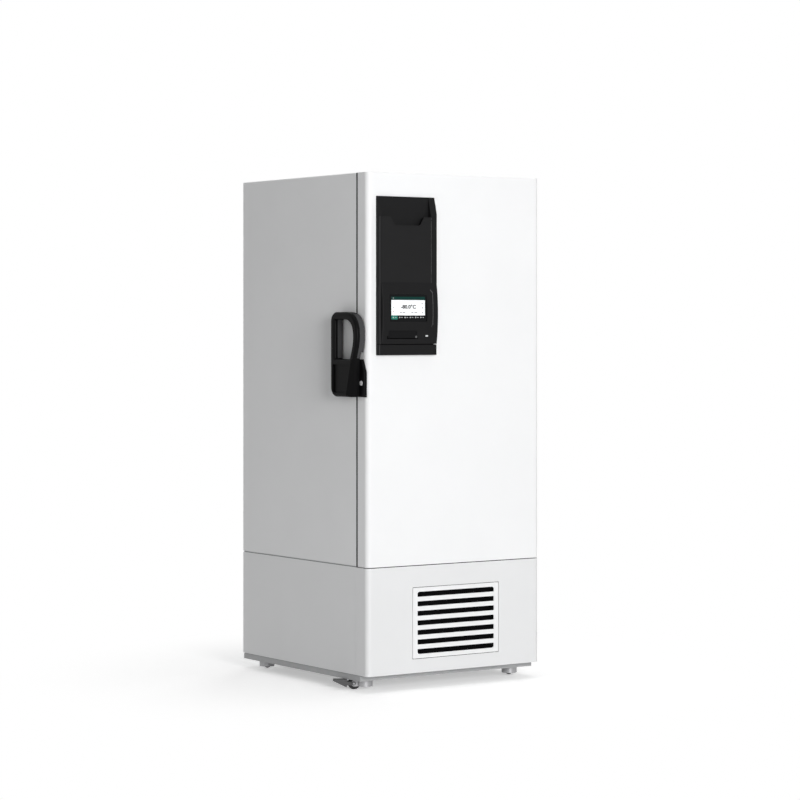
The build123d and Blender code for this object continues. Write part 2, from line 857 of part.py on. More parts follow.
# Status lamp lens
with BuildPart() as status_lens:
    with BuildSketch(front_plane(front - lens_proud + lens_depth)):
        with Locations((from_left(lens_x), lens_z)):
            SlotOverall(lens_width, lens_height)
    extrude(amount=lens_depth)
    fillet(status_lens.faces().sort_by(Axis.Y)[0].edges(), radius=lens_height / 6)
write(status_lens, "status_lens")

# Trim bar under the display
with BuildPart() as panel_trim:
    block(panel_left, panel_right, front - trim_depth, front, panel_z0, display_z0 - trim_gap)
    fillet(panel_trim.faces().sort_by(Axis.Y)[0].edges(), radius=panel_corner)
write(panel_trim, "panel_trim")


# Latch handle: one moulding with a bowed grip, a hand window, a recessed tray and a sloping front facet
def grip_outline():
    """Side outline of the whole handle, without its hand window, in Y and Z."""
    with BuildSketch(Plane.XY, mode=Mode.PRIVATE) as outline:
        with BuildLine():
            Spline(
                (at_depth(grip_bow_start), grip_top),
                (at_depth(grip_front), grip_front_z),
                (at_depth(grip_neck), grip_window_bottom),
                tangents=((-1, 0), (sin(radians(grip_neck_lean)), -cos(radians(grip_neck_lean)))),
            )
            Polyline(
                (at_depth(grip_neck), grip_window_bottom),
                (at_depth(grip_tail_front), grip_bottom),
                (at_depth(grip_rear), grip_bottom),
                (at_depth(grip_rear), grip_top),
                (at_depth(grip_bow_start), grip_top),
            )
        make_face()
        fillet(outline.vertices().group_by(Axis.X)[-1], radius=grip_corner)
        tail = outline.vertices().sort_by_distance((at_depth(grip_tail_front), grip_bottom))[0]
        fillet(tail, radius=grip_tail_corner)
        neck = outline.vertices().sort_by_distance((at_depth(grip_neck), grip_window_bottom))[0]
        fillet(neck, radius=grip_corner)
    return outline.sketch


def grip_window():
    """Hand window inside the handle's bars, in Y and Z."""
    with BuildSketch(Plane.XY, mode=Mode.PRIVATE) as window:
        bar = grip_bar
        with BuildLine():
            Spline(
                (at_depth(grip_bow_start), grip_top - bar),
                (at_depth(grip_front + bar), grip_front_z),
                (at_depth(grip_neck + bar), grip_window_bottom),
                tangents=((-1, 0), (sin(radians(grip_neck_lean)), -cos(radians(grip_neck_lean)))),
            )
            Polyline(
                (at_depth(grip_neck + bar), grip_window_bottom),
                (at_depth(grip_rear - bar), grip_window_bottom),
                (at_depth(grip_rear - bar), grip_top - bar),
                (at_depth(grip_bow_start), grip_top - bar),
            )
        make_face()
        fillet(window.vertices().group_by(Axis.X)[-1], radius=tray_corner)
        neck = window.vertices().sort_by_distance((at_depth(grip_neck + bar), grip_window_bottom))[0]
        fillet(neck, radius=tray_corner)
    return window.sketch


foot_middle = ((grip_foot_front + grip_rear) / 2, (grip_bottom + grip_top) / 2)
foot_size = (grip_rear - grip_foot_front, grip_top - grip_bottom)
loop_middle = ((grip_front + grip_rear) / 2, (grip_foot_z + grip_top) / 2)
loop_size = (grip_rear - grip_front, grip_top - grip_foot_z)
with BuildPart() as handle_lever:
    with BuildSketch(side_plane(grip_lift)):
        add(grip_outline())
        add(grip_window(), mode=Mode.SUBTRACT)
    extrude(amount=grip_lift - grip_outer)
    fillet(handle_lever.faces().sort_by(Axis.X)[0].edges(), radius=grip_round)
    for (middle_s, middle_z), (size_s, size_z) in ((foot_middle, foot_size), (loop_middle, loop_size)):
        with BuildSketch(side_plane(grip_foot_lift)):
            add(grip_outline())
            add(grip_window(), mode=Mode.SUBTRACT)
            with Locations((at_depth(middle_s), middle_z)):
                Rectangle(size_s, size_z, mode=Mode.INTERSECT)
        extrude(amount=grip_foot_lift - grip_lift)
    block(
        left - tray_under,
        left - grip_foot_lift,
        at_depth(grip_foot_front),
        at_depth(grip_rear - tray_wall),
        grip_bottom + tray_wall,
        grip_window_bottom - tray_wall,
        mode=Mode.SUBTRACT,
    )
    with BuildSketch(side_plane(grip_outer)) as tray:
        with BuildLine():
            Polyline(
                (at_depth(tray_recess_front), tray_recess_top),
                (at_depth(grip_rear - tray_rim), tray_recess_top),
                (at_depth(grip_rear - tray_rim), grip_bottom + tray_rim),
                (at_depth(tray_recess_front + tray_recess_lean), grip_bottom + tray_rim),
                close=True,
            )
        make_face()
        fillet(tray.vertices(), radius=tray_corner)
    extrude(amount=tray_depth, mode=Mode.SUBTRACT)
    for z, crest in ((grip_bottom, facet_bottom), (grip_window_bottom, facet_top)):
        with BuildSketch(Plane.XY.offset(z)):
            with BuildLine():
                Polyline(
                    (left - grip_outer, at_depth(crest)),
                    (left - 2 * grip_outer, at_depth(crest)),
                    (left - 2 * grip_outer, at_depth(grip_front)),
                    (left - grip_outer + facet_slope * (crest - grip_front), at_depth(grip_front)),
                    close=True,
                )
            make_face()
    loft(ruled=True, mode=Mode.SUBTRACT)
    with BuildSketch(side_plane(pivot_stud_end + pivot_cap)):
        with Locations((at_depth(pivot_s), pivot_z)):
            Circle(pivot_radius + running_clearance)
    extrude(amount=pivot_stud_end + pivot_cap - grip_lift, mode=Mode.SUBTRACT)
write(handle_lever, "handle_lever")

# Lock block on the door's edge, with the key cylinder's seat and the handle's pivot stud
with BuildPart() as lock_block:
    with BuildSketch(side_plane(0)):
        with BuildLine():
            Polyline(
                (at_depth(block_front), grip_bottom),
                (at_depth(block_rear), grip_bottom),
                (at_depth(block_rear), grip_window_bottom),
                (at_depth(block_slant_front), grip_window_bottom),
                (at_depth(block_front), block_slant_z),
                close=True,
            )
        make_face()
    extrude(amount=-block_thickness)
    fillet(lock_block.faces().sort_by(Axis.X)[0].edges(), radius=block_round)
    with BuildSketch(side_plane(block_thickness)):
        with Locations((at_depth(lock_s), lock_z)):
            Circle(lock_radius + lock_clearance)
    extrude(amount=lock_depth, mode=Mode.SUBTRACT)
    with BuildSketch(side_plane(block_thickness)):
        with Locations((at_depth(pivot_s), pivot_z)):
            Circle(pivot_radius)
    extrude(amount=block_thickness - pivot_stud_end)
write(lock_block, "lock_block")

# Key cylinder
with BuildPart() as lock_cylinder:
    with BuildSketch(side_plane(block_thickness - lock_depth)):
        with Locations((at_depth(lock_s), lock_z)):
            Circle(lock_radius)
    extrude(amount=-lock_depth - lock_proud)
    chamfer(lock_cylinder.faces().sort_by(Axis.X)[0].edges(), length=lock_proud / 2)
    with BuildSketch(side_plane(block_thickness + lock_proud)):
        with Locations((at_depth(lock_s), lock_z)):
            Rectangle(keyway_width, keyway_length)
    extrude(amount=keyway_depth, mode=Mode.SUBTRACT)
write(lock_cylinder, "lock_cylinder")


def round_pivot(reach, angle):
    """Place at a distance and an angle from the handle's pivot, in Y and Z."""
    return (
        at_depth(pivot_s) + reach * cos(radians(angle)),
        pivot_z + reach * sin(radians(angle)),
    )


# Strike: plate and pin on the cabinet's side, under the handle's tray
with BuildPart() as latch_strike:
    with BuildSketch(side_plane(0)):
        with Locations(round_pivot(strike_reach, strike_angle)):
            RectangleRounded(strike_plate_size, strike_plate_size, strike_pin_radius)
    extrude(amount=-strike_plate)
    with BuildSketch(side_plane(strike_plate)):
        with Locations(round_pivot(strike_reach, strike_angle)):
            Circle(strike_pin_radius)
    extrude(amount=strike_plate - strike_pin_height)
write(latch_strike, "latch_strike")

# Hook: steel claw under the tray, an arc about the handle's pivot that closes behind the strike pin
hook_inner = strike_reach + strike_pin_radius + hook_clearance
hook_outer = hook_inner + hook_width
hook_middle_angle = (hook_tip_angle + hook_root_angle) / 2
arm_middle_angle = (hook_arm_angle + hook_root_angle) / 2
with BuildPart() as latch_hook:
    with BuildSketch(side_plane(hook_from)):
        with BuildLine():
            ThreePointArc(
                round_pivot(hook_outer, hook_tip_angle),
                round_pivot(hook_outer, hook_middle_angle),
                round_pivot(hook_outer, hook_root_angle),
            )
            Polyline(
                round_pivot(hook_outer, hook_root_angle),
                round_pivot(hook_arm_reach, hook_root_angle),
                round_pivot(hook_arm_reach, hook_arm_angle),
                round_pivot(hook_inner, hook_arm_angle),
            )
            ThreePointArc(
                round_pivot(hook_inner, hook_arm_angle),
                round_pivot(hook_inner, (hook_tip_angle + hook_arm_angle) / 2),
                round_pivot(hook_inner, hook_tip_angle),
            )
            Line(round_pivot(hook_inner, hook_tip_angle), round_pivot(hook_outer, hook_tip_angle))
        make_face()
    extrude(amount=hook_from - hook_to)
    with BuildSketch(side_plane(hook_to)):
        with Locations(round_pivot((hook_arm_reach + hook_inner) / 2, arm_middle_angle)):
            Circle(hook_width / 3)
    extrude(amount=hook_to - tray_under)
write(latch_hook, "latch_hook")

# Lower front panel: folded fascia with rounded upright edges and a cut-out for the grille
grille_z1 = lower_top - grille_top_margin
grille_left = from_left(grille_x0)
grille_right = from_left(grille_x1)
grille_middle = ((grille_left + grille_right) / 2, (grille_z0 + grille_z1) / 2)
grille_axis_y = front + grille_pin_setback
grille_axis_z = grille_z0 + grille_pin_rise
ear_half = grille_ear / 2
with BuildPart() as lower_front_panel:
    with BuildSketch(Plane.XY.offset(panel_bottom)) as fascia_plan:
        with Locations((0, (front + cabinet_front) / 2)):
            Rectangle(width, cabinet_front - front)
        fillet(fascia_plan.vertices().group_by(Axis.Y)[0], radius=edge_radius)
    extrude(amount=lower_top - panel_bottom)
    offset(amount=-sheet, openings=lower_front_panel.faces().sort_by(Axis.Y)[-1])
    for x0, x1 in ((left, left + fascia_flange), (right - fascia_flange, right)):
        block(x0, x1, cabinet_front - sheet, cabinet_front, panel_bottom, lower_top)
    with BuildSketch(front_plane(front + sheet)):
        with Locations(grille_middle):
            RectangleRounded(grille_right - grille_left, grille_z1 - grille_z0, grille_corner)
    extrude(amount=sheet, mode=Mode.SUBTRACT)
    for x0, x1 in (
        (grille_left - grille_ear, grille_left - ear_side_gap),
        (grille_right + ear_side_gap, grille_right + grille_ear),
    ):
        ear_z = (grille_axis_z - ear_half, grille_axis_z + ear_half)
        block(x0, x1, front + sheet, grille_axis_y + ear_half, *ear_z)
    with BuildSketch(Plane.YZ.offset(grille_middle[0])):
        with Locations((grille_axis_y, grille_axis_z)):
            Circle(grille_pin_radius + running_clearance)
    extrude(amount=(grille_right - grille_left) / 2 + grille_ear, both=True, mode=Mode.SUBTRACT)
write(lower_front_panel, "lower_front_panel")

# Grille: slotted flap that turns down on two pins at its lower edge
plate_width = grille_right - grille_left - 2 * grille_gap
plate_height = grille_z1 - grille_z0 - 2 * grille_gap
slot_count = int((plate_height - 2 * slot_margin - slot_height) // slot_pitch) + 1
slot_field = (slot_count - 1) * slot_pitch + slot_height
with BuildPart() as front_grille:
    with BuildSketch(front_plane(front + grille_thickness)):
        with Locations(grille_middle):
            RectangleRounded(plate_width, plate_height, grille_corner)
    extrude(amount=grille_thickness)
    with BuildSketch(front_plane(front + grille_thickness)):
        with Locations(grille_middle):
            RectangleRounded(slot_width, slot_field, slot_corner)
        with Locations(grille_middle):
            with GridLocations(0, slot_pitch, 1, slot_count - 1):
                Rectangle(slot_width, slot_pitch - slot_height, mode=Mode.SUBTRACT)
    extrude(amount=grille_thickness, mode=Mode.SUBTRACT)
    for side in (-1, 1):
        lug_x = grille_middle[0] + side * (plate_width - grille_ear) / 2
        ear_z = (grille_axis_z - ear_half, grille_axis_z + ear_half)
        block(lug_x - ear_half, lug_x + ear_half, front + grille_thickness, grille_axis_y + ear_half, *ear_z)
        with BuildSketch(Plane.YZ.offset(lug_x)):
            with Locations((grille_axis_y, grille_axis_z)):
                Circle(grille_pin_radius)
        extrude(amount=side * (ear_half + grille_pin_length))
write(front_grille, "front_grille")

# Machine frame: four square posts with four rails on top that carry the cabinet
post_inner = post_size - 2 * sheet
post_x = right - sheet - post_size / 2
post_front = cabinet_front + post_size / 2
post_back = back - sheet - post_size / 2
with BuildPart() as machine_frame:
    for x in (-post_x, post_x):
        for y in (post_front, post_back):
            with BuildSketch(Plane.XY.offset(panel_bottom)):
                with Locations((x, y)):
                    RectangleRounded(post_size, post_size, bend_radius)
            extrude(amount=upper_bottom - panel_bottom)
    rail_z = (upper_bottom - post_size, upper_bottom)
    for x in (-post_x, post_x):
        block(x - post_size / 2, x + post_size / 2, post_front, post_back, *rail_z)
    for y in (post_front, post_back):
        block(-post_x, post_x, y - post_size / 2, y + post_size / 2, *rail_z)
    for x in (-post_x, post_x):
        for y in (post_front, post_back):
            with BuildSketch(Plane.XY.offset(panel_bottom)):
                with Locations((x, y)):
                    Rectangle(post_inner, post_inner)
            extrude(amount=upper_bottom - panel_bottom - post_size + sheet, mode=Mode.SUBTRACT)
write(machine_frame, "machine_frame")

# Lower side panels
with BuildPart() as lower_side_panels:
    for x0 in (left, right - sheet):
        block(x0, x0 + sheet, cabinet_front + seam_gap / 2, back, panel_bottom, lower_top)
write(lower_side_panels, "lower_side_panels")

# Lower rear panel with rows of vents and the mains inlet's hole
vent_low = panel_bottom + vent_bottom_margin
vent_high = lower_top - vent_top_margin
vent_rows = int((vent_high - vent_low - vent_height) // vent_pitch_z) + 1
with BuildPart() as lower_rear_panel:
    block(left + sheet, right - sheet, back - sheet, back, panel_bottom, lower_top)
    with BuildSketch(front_plane(back)):
        with Locations((0, (vent_low + vent_high) / 2)):
            with GridLocations(vent_pitch_x, vent_pitch_z, vent_columns, vent_rows):
                SlotOverall(vent_width, vent_height)
    extrude(amount=sheet, mode=Mode.SUBTRACT)
    with BuildSketch(front_plane(back)):
        with Locations((inlet_x, inlet_z)):
            Rectangle(inlet_width, inlet_height)
    extrude(amount=sheet, mode=Mode.SUBTRACT)
write(lower_rear_panel, "lower_rear_panel")

# Base: a flat pan with a skirt of four strips round it
pan_front = front + skirt_setback
pan_back = back - skirt_rear_setback
pan_underside = panel_bottom - pan_thickness
skirt_bottom = panel_bottom - skirt_drop
skirt_top = panel_bottom - skirt_gap
with BuildPart() as base_pan:
    block(
        left + skirt_sheet,
        right - skirt_sheet,
        pan_front + skirt_sheet,
        pan_back - skirt_sheet,
        pan_underside,
        panel_bottom,
    )
write(base_pan, "base_pan")

with BuildPart() as base_skirt:
    for x0 in (left, right - skirt_sheet):
        block(x0, x0 + skirt_sheet, pan_front, pan_back, skirt_bottom, skirt_top)
    strip_x = right - skirt_sheet - skirt_joint
    for y0 in (pan_front, pan_back - skirt_sheet):
        block(-strip_x, strip_x, y0, y0 + skirt_sheet, skirt_bottom, skirt_top)
write(base_skirt, "base_skirt")

# Casters: fixed plates, swivelling forks, wheels, and brake pedals at the front
plate_bottom_z = pan_underside - plate_thickness
boss_bottom = fork_top + seat_clearance
kingpin_top = fork_top + kingpin_length
leg_inner = wheel_width / 2 + fork_side_gap
fork_half = leg_inner + fork_leg
arm_inner = fork_half + pedal_gap
arm_outer = arm_inner + pedal_arm


def caster_centre(side_x, side_y):
    """Swivel axis of a caster, in X and Y."""
    y = front + caster_inset_front if side_y < 0 else back - caster_inset_back
    return side_x * (right - caster_inset_x), y


with BuildPart() as caster_plates:
    for side_x, side_y, trail in caster_spots.values():
        centre = caster_centre(side_x, side_y)
        with BuildSketch(Plane.XY.offset(plate_bottom_z)):
            with Locations(centre):
                RectangleRounded(plate_size, plate_size, bend_radius)
        extrude(amount=plate_thickness)
        with BuildSketch(Plane.XY.offset(boss_bottom)):
            with Locations(centre):
                Circle(boss_radius)
        extrude(amount=plate_bottom_z - boss_bottom)
        with BuildSketch(Plane.XY.offset(boss_bottom)):
            with Locations(centre):
                Circle(kingpin_radius + running_clearance)
        extrude(amount=kingpin_top - boss_bottom, mode=Mode.SUBTRACT)
write(caster_plates, "caster_plates")

for name, (side_x, side_y, (dx, dy)) in caster_spots.items():
    centre_x, centre_y = caster_centre(side_x, side_y)
    plan = Plane(origin=(centre_x, centre_y, 0), x_dir=(dx, dy, 0), z_dir=(0, 0, 1))
    profile = Plane(origin=(centre_x, centre_y, 0), x_dir=(dx, dy, 0), z_dir=(dy, -dx, 0))
    hub_x = centre_x + dx * caster_trail
    hub_y = centre_y + dy * caster_trail
    section = Plane(origin=(hub_x, hub_y, wheel_radius), x_dir=(dy, -dx, 0), z_dir=(-dx, -dy, 0))
    braked = side_y < 0
    axle_half = arm_outer if braked else fork_half

    with BuildPart() as caster_fork:
        with BuildSketch(profile):
            with Locations((caster_trail / 2, (fork_bottom + fork_top) / 2)):
                Rectangle(caster_trail, fork_top - fork_bottom)
            with Locations((caster_trail, wheel_radius)):
                Circle(fork_end_radius)
        extrude(amount=fork_half, both=True)
        with BuildSketch(plan.offset(fork_bottom)):
            Circle(fork_head_radius)
        extrude(amount=fork_top - fork_bottom)
        with BuildSketch(profile):
            with Locations((caster_trail, wheel_radius)):
                Circle(wheel_radius + fork_wheel_gap)
        extrude(amount=leg_inner, both=True, mode=Mode.SUBTRACT)
        with BuildSketch(profile):
            with Locations((caster_trail, wheel_radius)):
                Circle(axle_radius)
        extrude(amount=axle_half, both=True)
        with BuildSketch(plan.offset(fork_top)):
            Circle(kingpin_radius)
        extrude(amount=kingpin_length)
    write(caster_fork, f"caster_fork_{name}")

    with BuildPart() as caster_wheel:
        with BuildSketch(section):
            with BuildLine():
                bore = axle_radius + running_clearance
                half = wheel_width / 2
                shoulder = wheel_radius - wheel_crown
                Polyline(
                    (-half, shoulder),
                    (-half, hub_radius),
                    (hub_recess - half, hub_radius - hub_recess),
                    (hub_recess - half, 2 * axle_radius),
                    (-half, 2 * axle_radius),
                    (-half, bore),
                    (half, bore),
                    (half, 2 * axle_radius),
                    (half - hub_recess, 2 * axle_radius),
                    (half - hub_recess, hub_radius - hub_recess),
                    (half, hub_radius),
                    (half, shoulder),
                )
                ThreePointArc((half, shoulder), (0, wheel_radius), (-half, shoulder))
            make_face()
        revolve(axis=Axis((hub_x, hub_y, wheel_radius), (dy, -dx, 0)))
    write(caster_wheel, f"caster_wheel_{name}")

    if braked:
        with BuildPart() as brake_pedal:
            with BuildSketch(profile):
                with BuildLine():
                    Polyline(
                        (pedal_start, pedal_heel_bottom),
                        (pedal_start, pedal_top),
                        (pedal_end, pedal_top),
                        (pedal_end, pedal_toe_bottom),
                        close=True,
                    )
                make_face()
            extrude(amount=arm_outer, both=True)
            with BuildSketch(profile.offset(-arm_outer)):
                with Locations((caster_trail, wheel_radius)):
                    Circle(pedal_arm_height / 2)
                with Locations(((caster_trail + pedal_start) / 2, wheel_radius)):
                    Rectangle(pedal_start - caster_trail, pedal_arm_height)
                with Locations((caster_trail, wheel_radius)):
                    Circle(axle_radius + running_clearance, mode=Mode.SUBTRACT)
            extrude(amount=2 * arm_outer)
            with BuildSketch(profile.offset(-arm_inner)):
                with Locations((caster_trail, wheel_radius)):
                    Circle(pedal_start - caster_trail)
            extrude(amount=2 * arm_inner, mode=Mode.SUBTRACT)
        write(brake_pedal, f"brake_pedal_{name}")


# Condenser: finned block between two end plates standing on the front panel's bottom fold, with return bends
duct_x = grille_middle[0]
condenser_width = width - 2 * condenser_side_room
duct_left = duct_x - condenser_width / 2
duct_right = duct_x + condenser_width / 2
condenser_front = front + filter_setback + filter_thickness
condenser_back = condenser_front + condenser_depth
condenser_bottom = panel_bottom + condenser_rise
condenser_top = lower_top - condenser_headroom
condenser_height = condenser_top - condenser_bottom
duct_z = (condenser_bottom + condenser_top) / 2
fin_count = int(condenser_width // fin_pitch) - 1
with BuildPart() as condenser:
    block(duct_left, duct_right, condenser_front, condenser_back, condenser_bottom, condenser_top)
    with BuildSketch(Plane.XY.offset(condenser_bottom)):
        for groove_y in (condenser_front + fin_depth / 2, condenser_back - fin_depth / 2):
            with Locations((duct_x, groove_y)):
                with GridLocations(fin_pitch, 0, fin_count, 1):
                    Rectangle(fin_gap, fin_depth)
    extrude(amount=condenser_height, mode=Mode.SUBTRACT)
    for x0 in (duct_left - condenser_end_plate, duct_right):
        plate_z = (panel_bottom + sheet, condenser_top)
        block(x0, x0 + condenser_end_plate, condenser_front, condenser_back, *plate_z)
    with BuildSketch(Plane.YZ.offset(duct_right + condenser_end_plate)):
        with Locations(((condenser_front + condenser_back) / 2, duct_z)):
            with GridLocations(0, bend_pitch, 1, bend_count):
                SlotOverall(condenser_depth - 2 * fin_depth, 2 * bend_pipe_radius)
    extrude(amount=bend_reach)
write(condenser, "condenser")

# Air filter: framed pad in front of the condenser
with BuildPart() as air_filter:
    block(duct_left, duct_right, front + filter_setback, condenser_front, condenser_bottom, condenser_top)
    with BuildSketch(front_plane(front + filter_setback)):
        with Locations((duct_x, duct_z)):
            Rectangle(condenser_width - 2 * filter_frame_width, condenser_height - 2 * filter_frame_width)
    extrude(amount=-filter_relief, mode=Mode.SUBTRACT)
write(air_filter, "air_filter")

# Fan shroud: plate behind the condenser, its collar as wide as the shorter side of the duct allows
shroud_back = condenser_back + shroud_plate
fan_opening_radius = min(condenser_width, condenser_height) / 2 - fan_side_room
with BuildPart() as fan_shroud:
    block(duct_left, duct_right, condenser_back, shroud_back, condenser_bottom, condenser_top)
    with BuildSketch(front_plane(shroud_back + shroud_collar)):
        with Locations((duct_x, duct_z)):
            Circle(fan_opening_radius + shroud_plate)
    extrude(amount=shroud_collar)
    with BuildSketch(front_plane(shroud_back + shroud_collar)):
        with Locations((duct_x, duct_z)):
            Circle(fan_opening_radius)
    extrude(amount=shroud_collar + shroud_plate, mode=Mode.SUBTRACT)
write(fan_shroud, "fan_shroud")

# Fan rotor: pitched blades on a closed hub
fan_radius = fan_opening_radius - fan_tip_gap
fan_middle = condenser_back + fan_setback
hub_back = fan_middle + fan_hub_length / 2
shaft_depth = fan_hub_length - 2 * fan_blade_thickness
with BuildPart() as fan_rotor:
    with BuildSketch(front_plane(hub_back)):
        with Locations((duct_x, duct_z)):
            Circle(fan_hub_radius)
    extrude(amount=fan_hub_length)
    for number in range(fan_blades):
        angle = 360 * number / fan_blades
        spoke = Plane(
            origin=(duct_x, fan_middle, duct_z),
            x_dir=(-sin(radians(angle)), 0, cos(radians(angle))),
            z_dir=(cos(radians(angle)), 0, sin(radians(angle))),
        )
        with BuildSketch(spoke):
            SlotOverall(fan_blade_chord, fan_blade_thickness, rotation=fan_blade_twist)
        extrude(amount=fan_radius - fan_blade_thickness)
    with BuildSketch(front_plane(hub_back)):
        with Locations((duct_x, duct_z)):
            Circle(motor_shaft_radius + running_clearance)
    extrude(amount=shaft_depth, mode=Mode.SUBTRACT)
write(fan_rotor, "fan_rotor")

# Fan motor: can, shaft, and three legs standing on the shroud
motor_front = hub_back + motor_gap
motor_arm_reach = fan_opening_radius + motor_leg_room
with BuildPart() as fan_motor:
    with BuildSketch(front_plane(motor_front + motor_length)):
        with Locations((duct_x, duct_z)):
            Circle(motor_radius)
    extrude(amount=motor_length)
    fillet(fan_motor.faces().sort_by(Axis.Y)[-1].edges(), radius=motor_gap)
    with BuildSketch(front_plane(motor_front)):
        with Locations((duct_x, duct_z)):
            Circle(motor_shaft_radius)
    extrude(amount=motor_gap + shaft_depth - running_clearance)
    for number in range(motor_arms):
        angle = 90 + 360 * number / motor_arms
        with BuildSketch(front_plane(motor_front + motor_arm_thickness)):
            with Locations((duct_x, duct_z)):
                with Locations(Rotation(0, 0, angle)):
                    with Locations((motor_arm_reach / 2, 0)):
                        Rectangle(motor_arm_reach, motor_arm_width)
        extrude(amount=motor_arm_thickness)
        leg_x = duct_x + motor_arm_reach * cos(radians(angle))
        leg_z = duct_z + motor_arm_reach * sin(radians(angle))
        with BuildSketch(front_plane(motor_front + motor_arm_thickness)):
            with Locations((leg_x, leg_z)):
                Circle(motor_arm_width / 2)
        extrude(amount=motor_front + motor_arm_thickness - shroud_back)
write(fan_motor, "fan_motor")

# Compressors: two welded cans on square feet, each with a terminal cover and two pipe stubs
compressor_x = right - compressor_side_inset
compressor_y = back - compressor_rear
foot_bottom = panel_bottom + grommet_height
foot_top = foot_bottom + compressor_foot_thickness
can_top = foot_top + compressor_height
seam_z = foot_top + compressor_height / 2
with BuildPart() as compressors:
    for side in (-1, 1):
        can_x = side * compressor_x
        with BuildSketch(Plane.XY.offset(foot_bottom)):
            with Locations((can_x, compressor_y)):
                RectangleRounded(compressor_foot, compressor_foot, grommet_radius)
        extrude(amount=compressor_foot_thickness)
        with BuildSketch(Plane(origin=(can_x, compressor_y, 0), x_dir=(1, 0, 0), z_dir=(0, -1, 0))):
            with BuildLine():
                rim = compressor_radius + compressor_seam
                seam_low = seam_z - compressor_seam_height / 2
                seam_high = seam_z + compressor_seam_height / 2
                Polyline(
                    (0, can_top),
                    (0, foot_top),
                    (compressor_radius, foot_top),
                    (compressor_radius, seam_low),
                    (rim, seam_low),
                    (rim, seam_high),
                    (compressor_radius, seam_high),
                    (compressor_radius, can_top - compressor_dome),
                )
                Spline(
                    (compressor_radius, can_top - compressor_dome),
                    (0, can_top),
                    tangents=((0, 1), (-1, 0)),
                )
            make_face()
        revolve(axis=Axis((can_x, compressor_y, 0), (0, 0, 1)))
        block(
            can_x - compressor_cover_width / 2,
            can_x + compressor_cover_width / 2,
            compressor_y,
            compressor_y + compressor_radius + compressor_cover_depth,
            seam_high,
            seam_high + compressor_cover_height,
        )
        with BuildSketch(Plane.XY.offset(can_top - compressor_dome)):
            with Locations((can_x, compressor_y)):
                with GridLocations(compressor_radius, 0, 2, 1):
                    Circle(compressor_stub_radius)
        extrude(amount=compressor_dome + compressor_stub_length)
write(compressors, "compressors")

# Grommets: waisted rubber feet under the compressors
grommet_half = grommet_pitch / 2
grommet_rim = grommet_height / 3
with BuildPart() as compressor_grommets:
    for x in [side * compressor_x + edge * grommet_half for side in (-1, 1) for edge in (-1, 1)]:
        for y in (compressor_y - grommet_half, compressor_y + grommet_half):
            with BuildSketch(Plane.XY.offset(panel_bottom)):
                with Locations((x, y)):
                    Circle(grommet_radius - grommet_waist)
            extrude(amount=grommet_height)
            for z in (panel_bottom, foot_bottom - grommet_rim):
                with BuildSketch(Plane.XY.offset(z)):
                    with Locations((x, y)):
                        Circle(grommet_radius)
                extrude(amount=grommet_rim)
write(compressor_grommets, "compressor_grommets")

# Heat exchanger between the two cooling stages: ribbed block with two ports on top
exchanger_y = back - exchanger_rear
exchanger_top = upper_bottom - exchanger_headroom
exchanger_height = exchanger_top - panel_bottom
groove_count = int(exchanger_height // exchanger_groove_pitch) - 1
groove_middle = panel_bottom + exchanger_height / 2
with BuildPart() as heat_exchanger:
    with BuildSketch(Plane.XY.offset(panel_bottom)):
        with Locations((0, exchanger_y)):
            RectangleRounded(exchanger_width, exchanger_depth, exchanger_port_radius)
    extrude(amount=exchanger_height)
    with BuildSketch(Plane.YZ.offset(-exchanger_width / 2)):
        for side in (-1, 1):
            with Locations((exchanger_y + side * exchanger_depth / 2, groove_middle)):
                with GridLocations(0, exchanger_groove_pitch, 1, groove_count):
                    Rectangle(2 * exchanger_groove, exchanger_groove)
    extrude(amount=exchanger_width, mode=Mode.SUBTRACT)
    with BuildSketch(Plane.XY.offset(exchanger_top)):
        with Locations((0, exchanger_y)):
            with GridLocations(exchanger_width / 2, 0, 2, 1):
                Circle(exchanger_port_radius)
    extrude(amount=exchanger_port_length)
write(heat_exchanger, "heat_exchanger")

# Control box on the inside of the left lower panel
box_left = left + sheet
box_y = back - box_rear
with BuildPart() as control_box:
    block(
        box_left,
        box_left + box_depth,
        box_y - box_width / 2,
        box_y + box_width / 2,
        box_z - box_height / 2,
        box_z + box_height / 2,
    )
    with BuildSketch(Plane.YZ.offset(box_left + box_depth)):
        with Locations((box_y, box_z)):
            with GridLocations(0, box_groove_pitch, 1, box_groove_count):
                Rectangle(box_width / 2, box_groove)
    extrude(amount=-box_groove, mode=Mode.SUBTRACT)
write(control_box, "control_box")

# Mains inlet: flanged socket through the rear panel with three blades in a recess
socket_width = inlet_width - 2 * inlet_clearance
socket_height = inlet_height - 2 * inlet_clearance
inlet_face = back + inlet_flange
with BuildPart() as power_inlet:
    with BuildSketch(front_plane(inlet_face)):
        with Locations((inlet_x, inlet_z)):
            RectangleRounded(inlet_width + 2 * inlet_margin, inlet_height + 2 * inlet_margin, inlet_margin)
    extrude(amount=inlet_flange)
    with BuildSketch(front_plane(back)):
        with Locations((inlet_x, inlet_z)):
            Rectangle(socket_width, socket_height)
    extrude(amount=inlet_depth)
    with BuildSketch(front_plane(inlet_face)):
        with Locations((inlet_x, inlet_z)):
            Rectangle(socket_width - 2 * inlet_wall, socket_height - 2 * inlet_wall)
            with GridLocations(inlet_blade_pitch, 0, 3, 1):
                Rectangle(inlet_blade_thickness, inlet_blade_width, mode=Mode.SUBTRACT)
    extrude(amount=inlet_flange + inlet_depth - inlet_wall, mode=Mode.SUBTRACT)
write(power_inlet, "power_inlet")

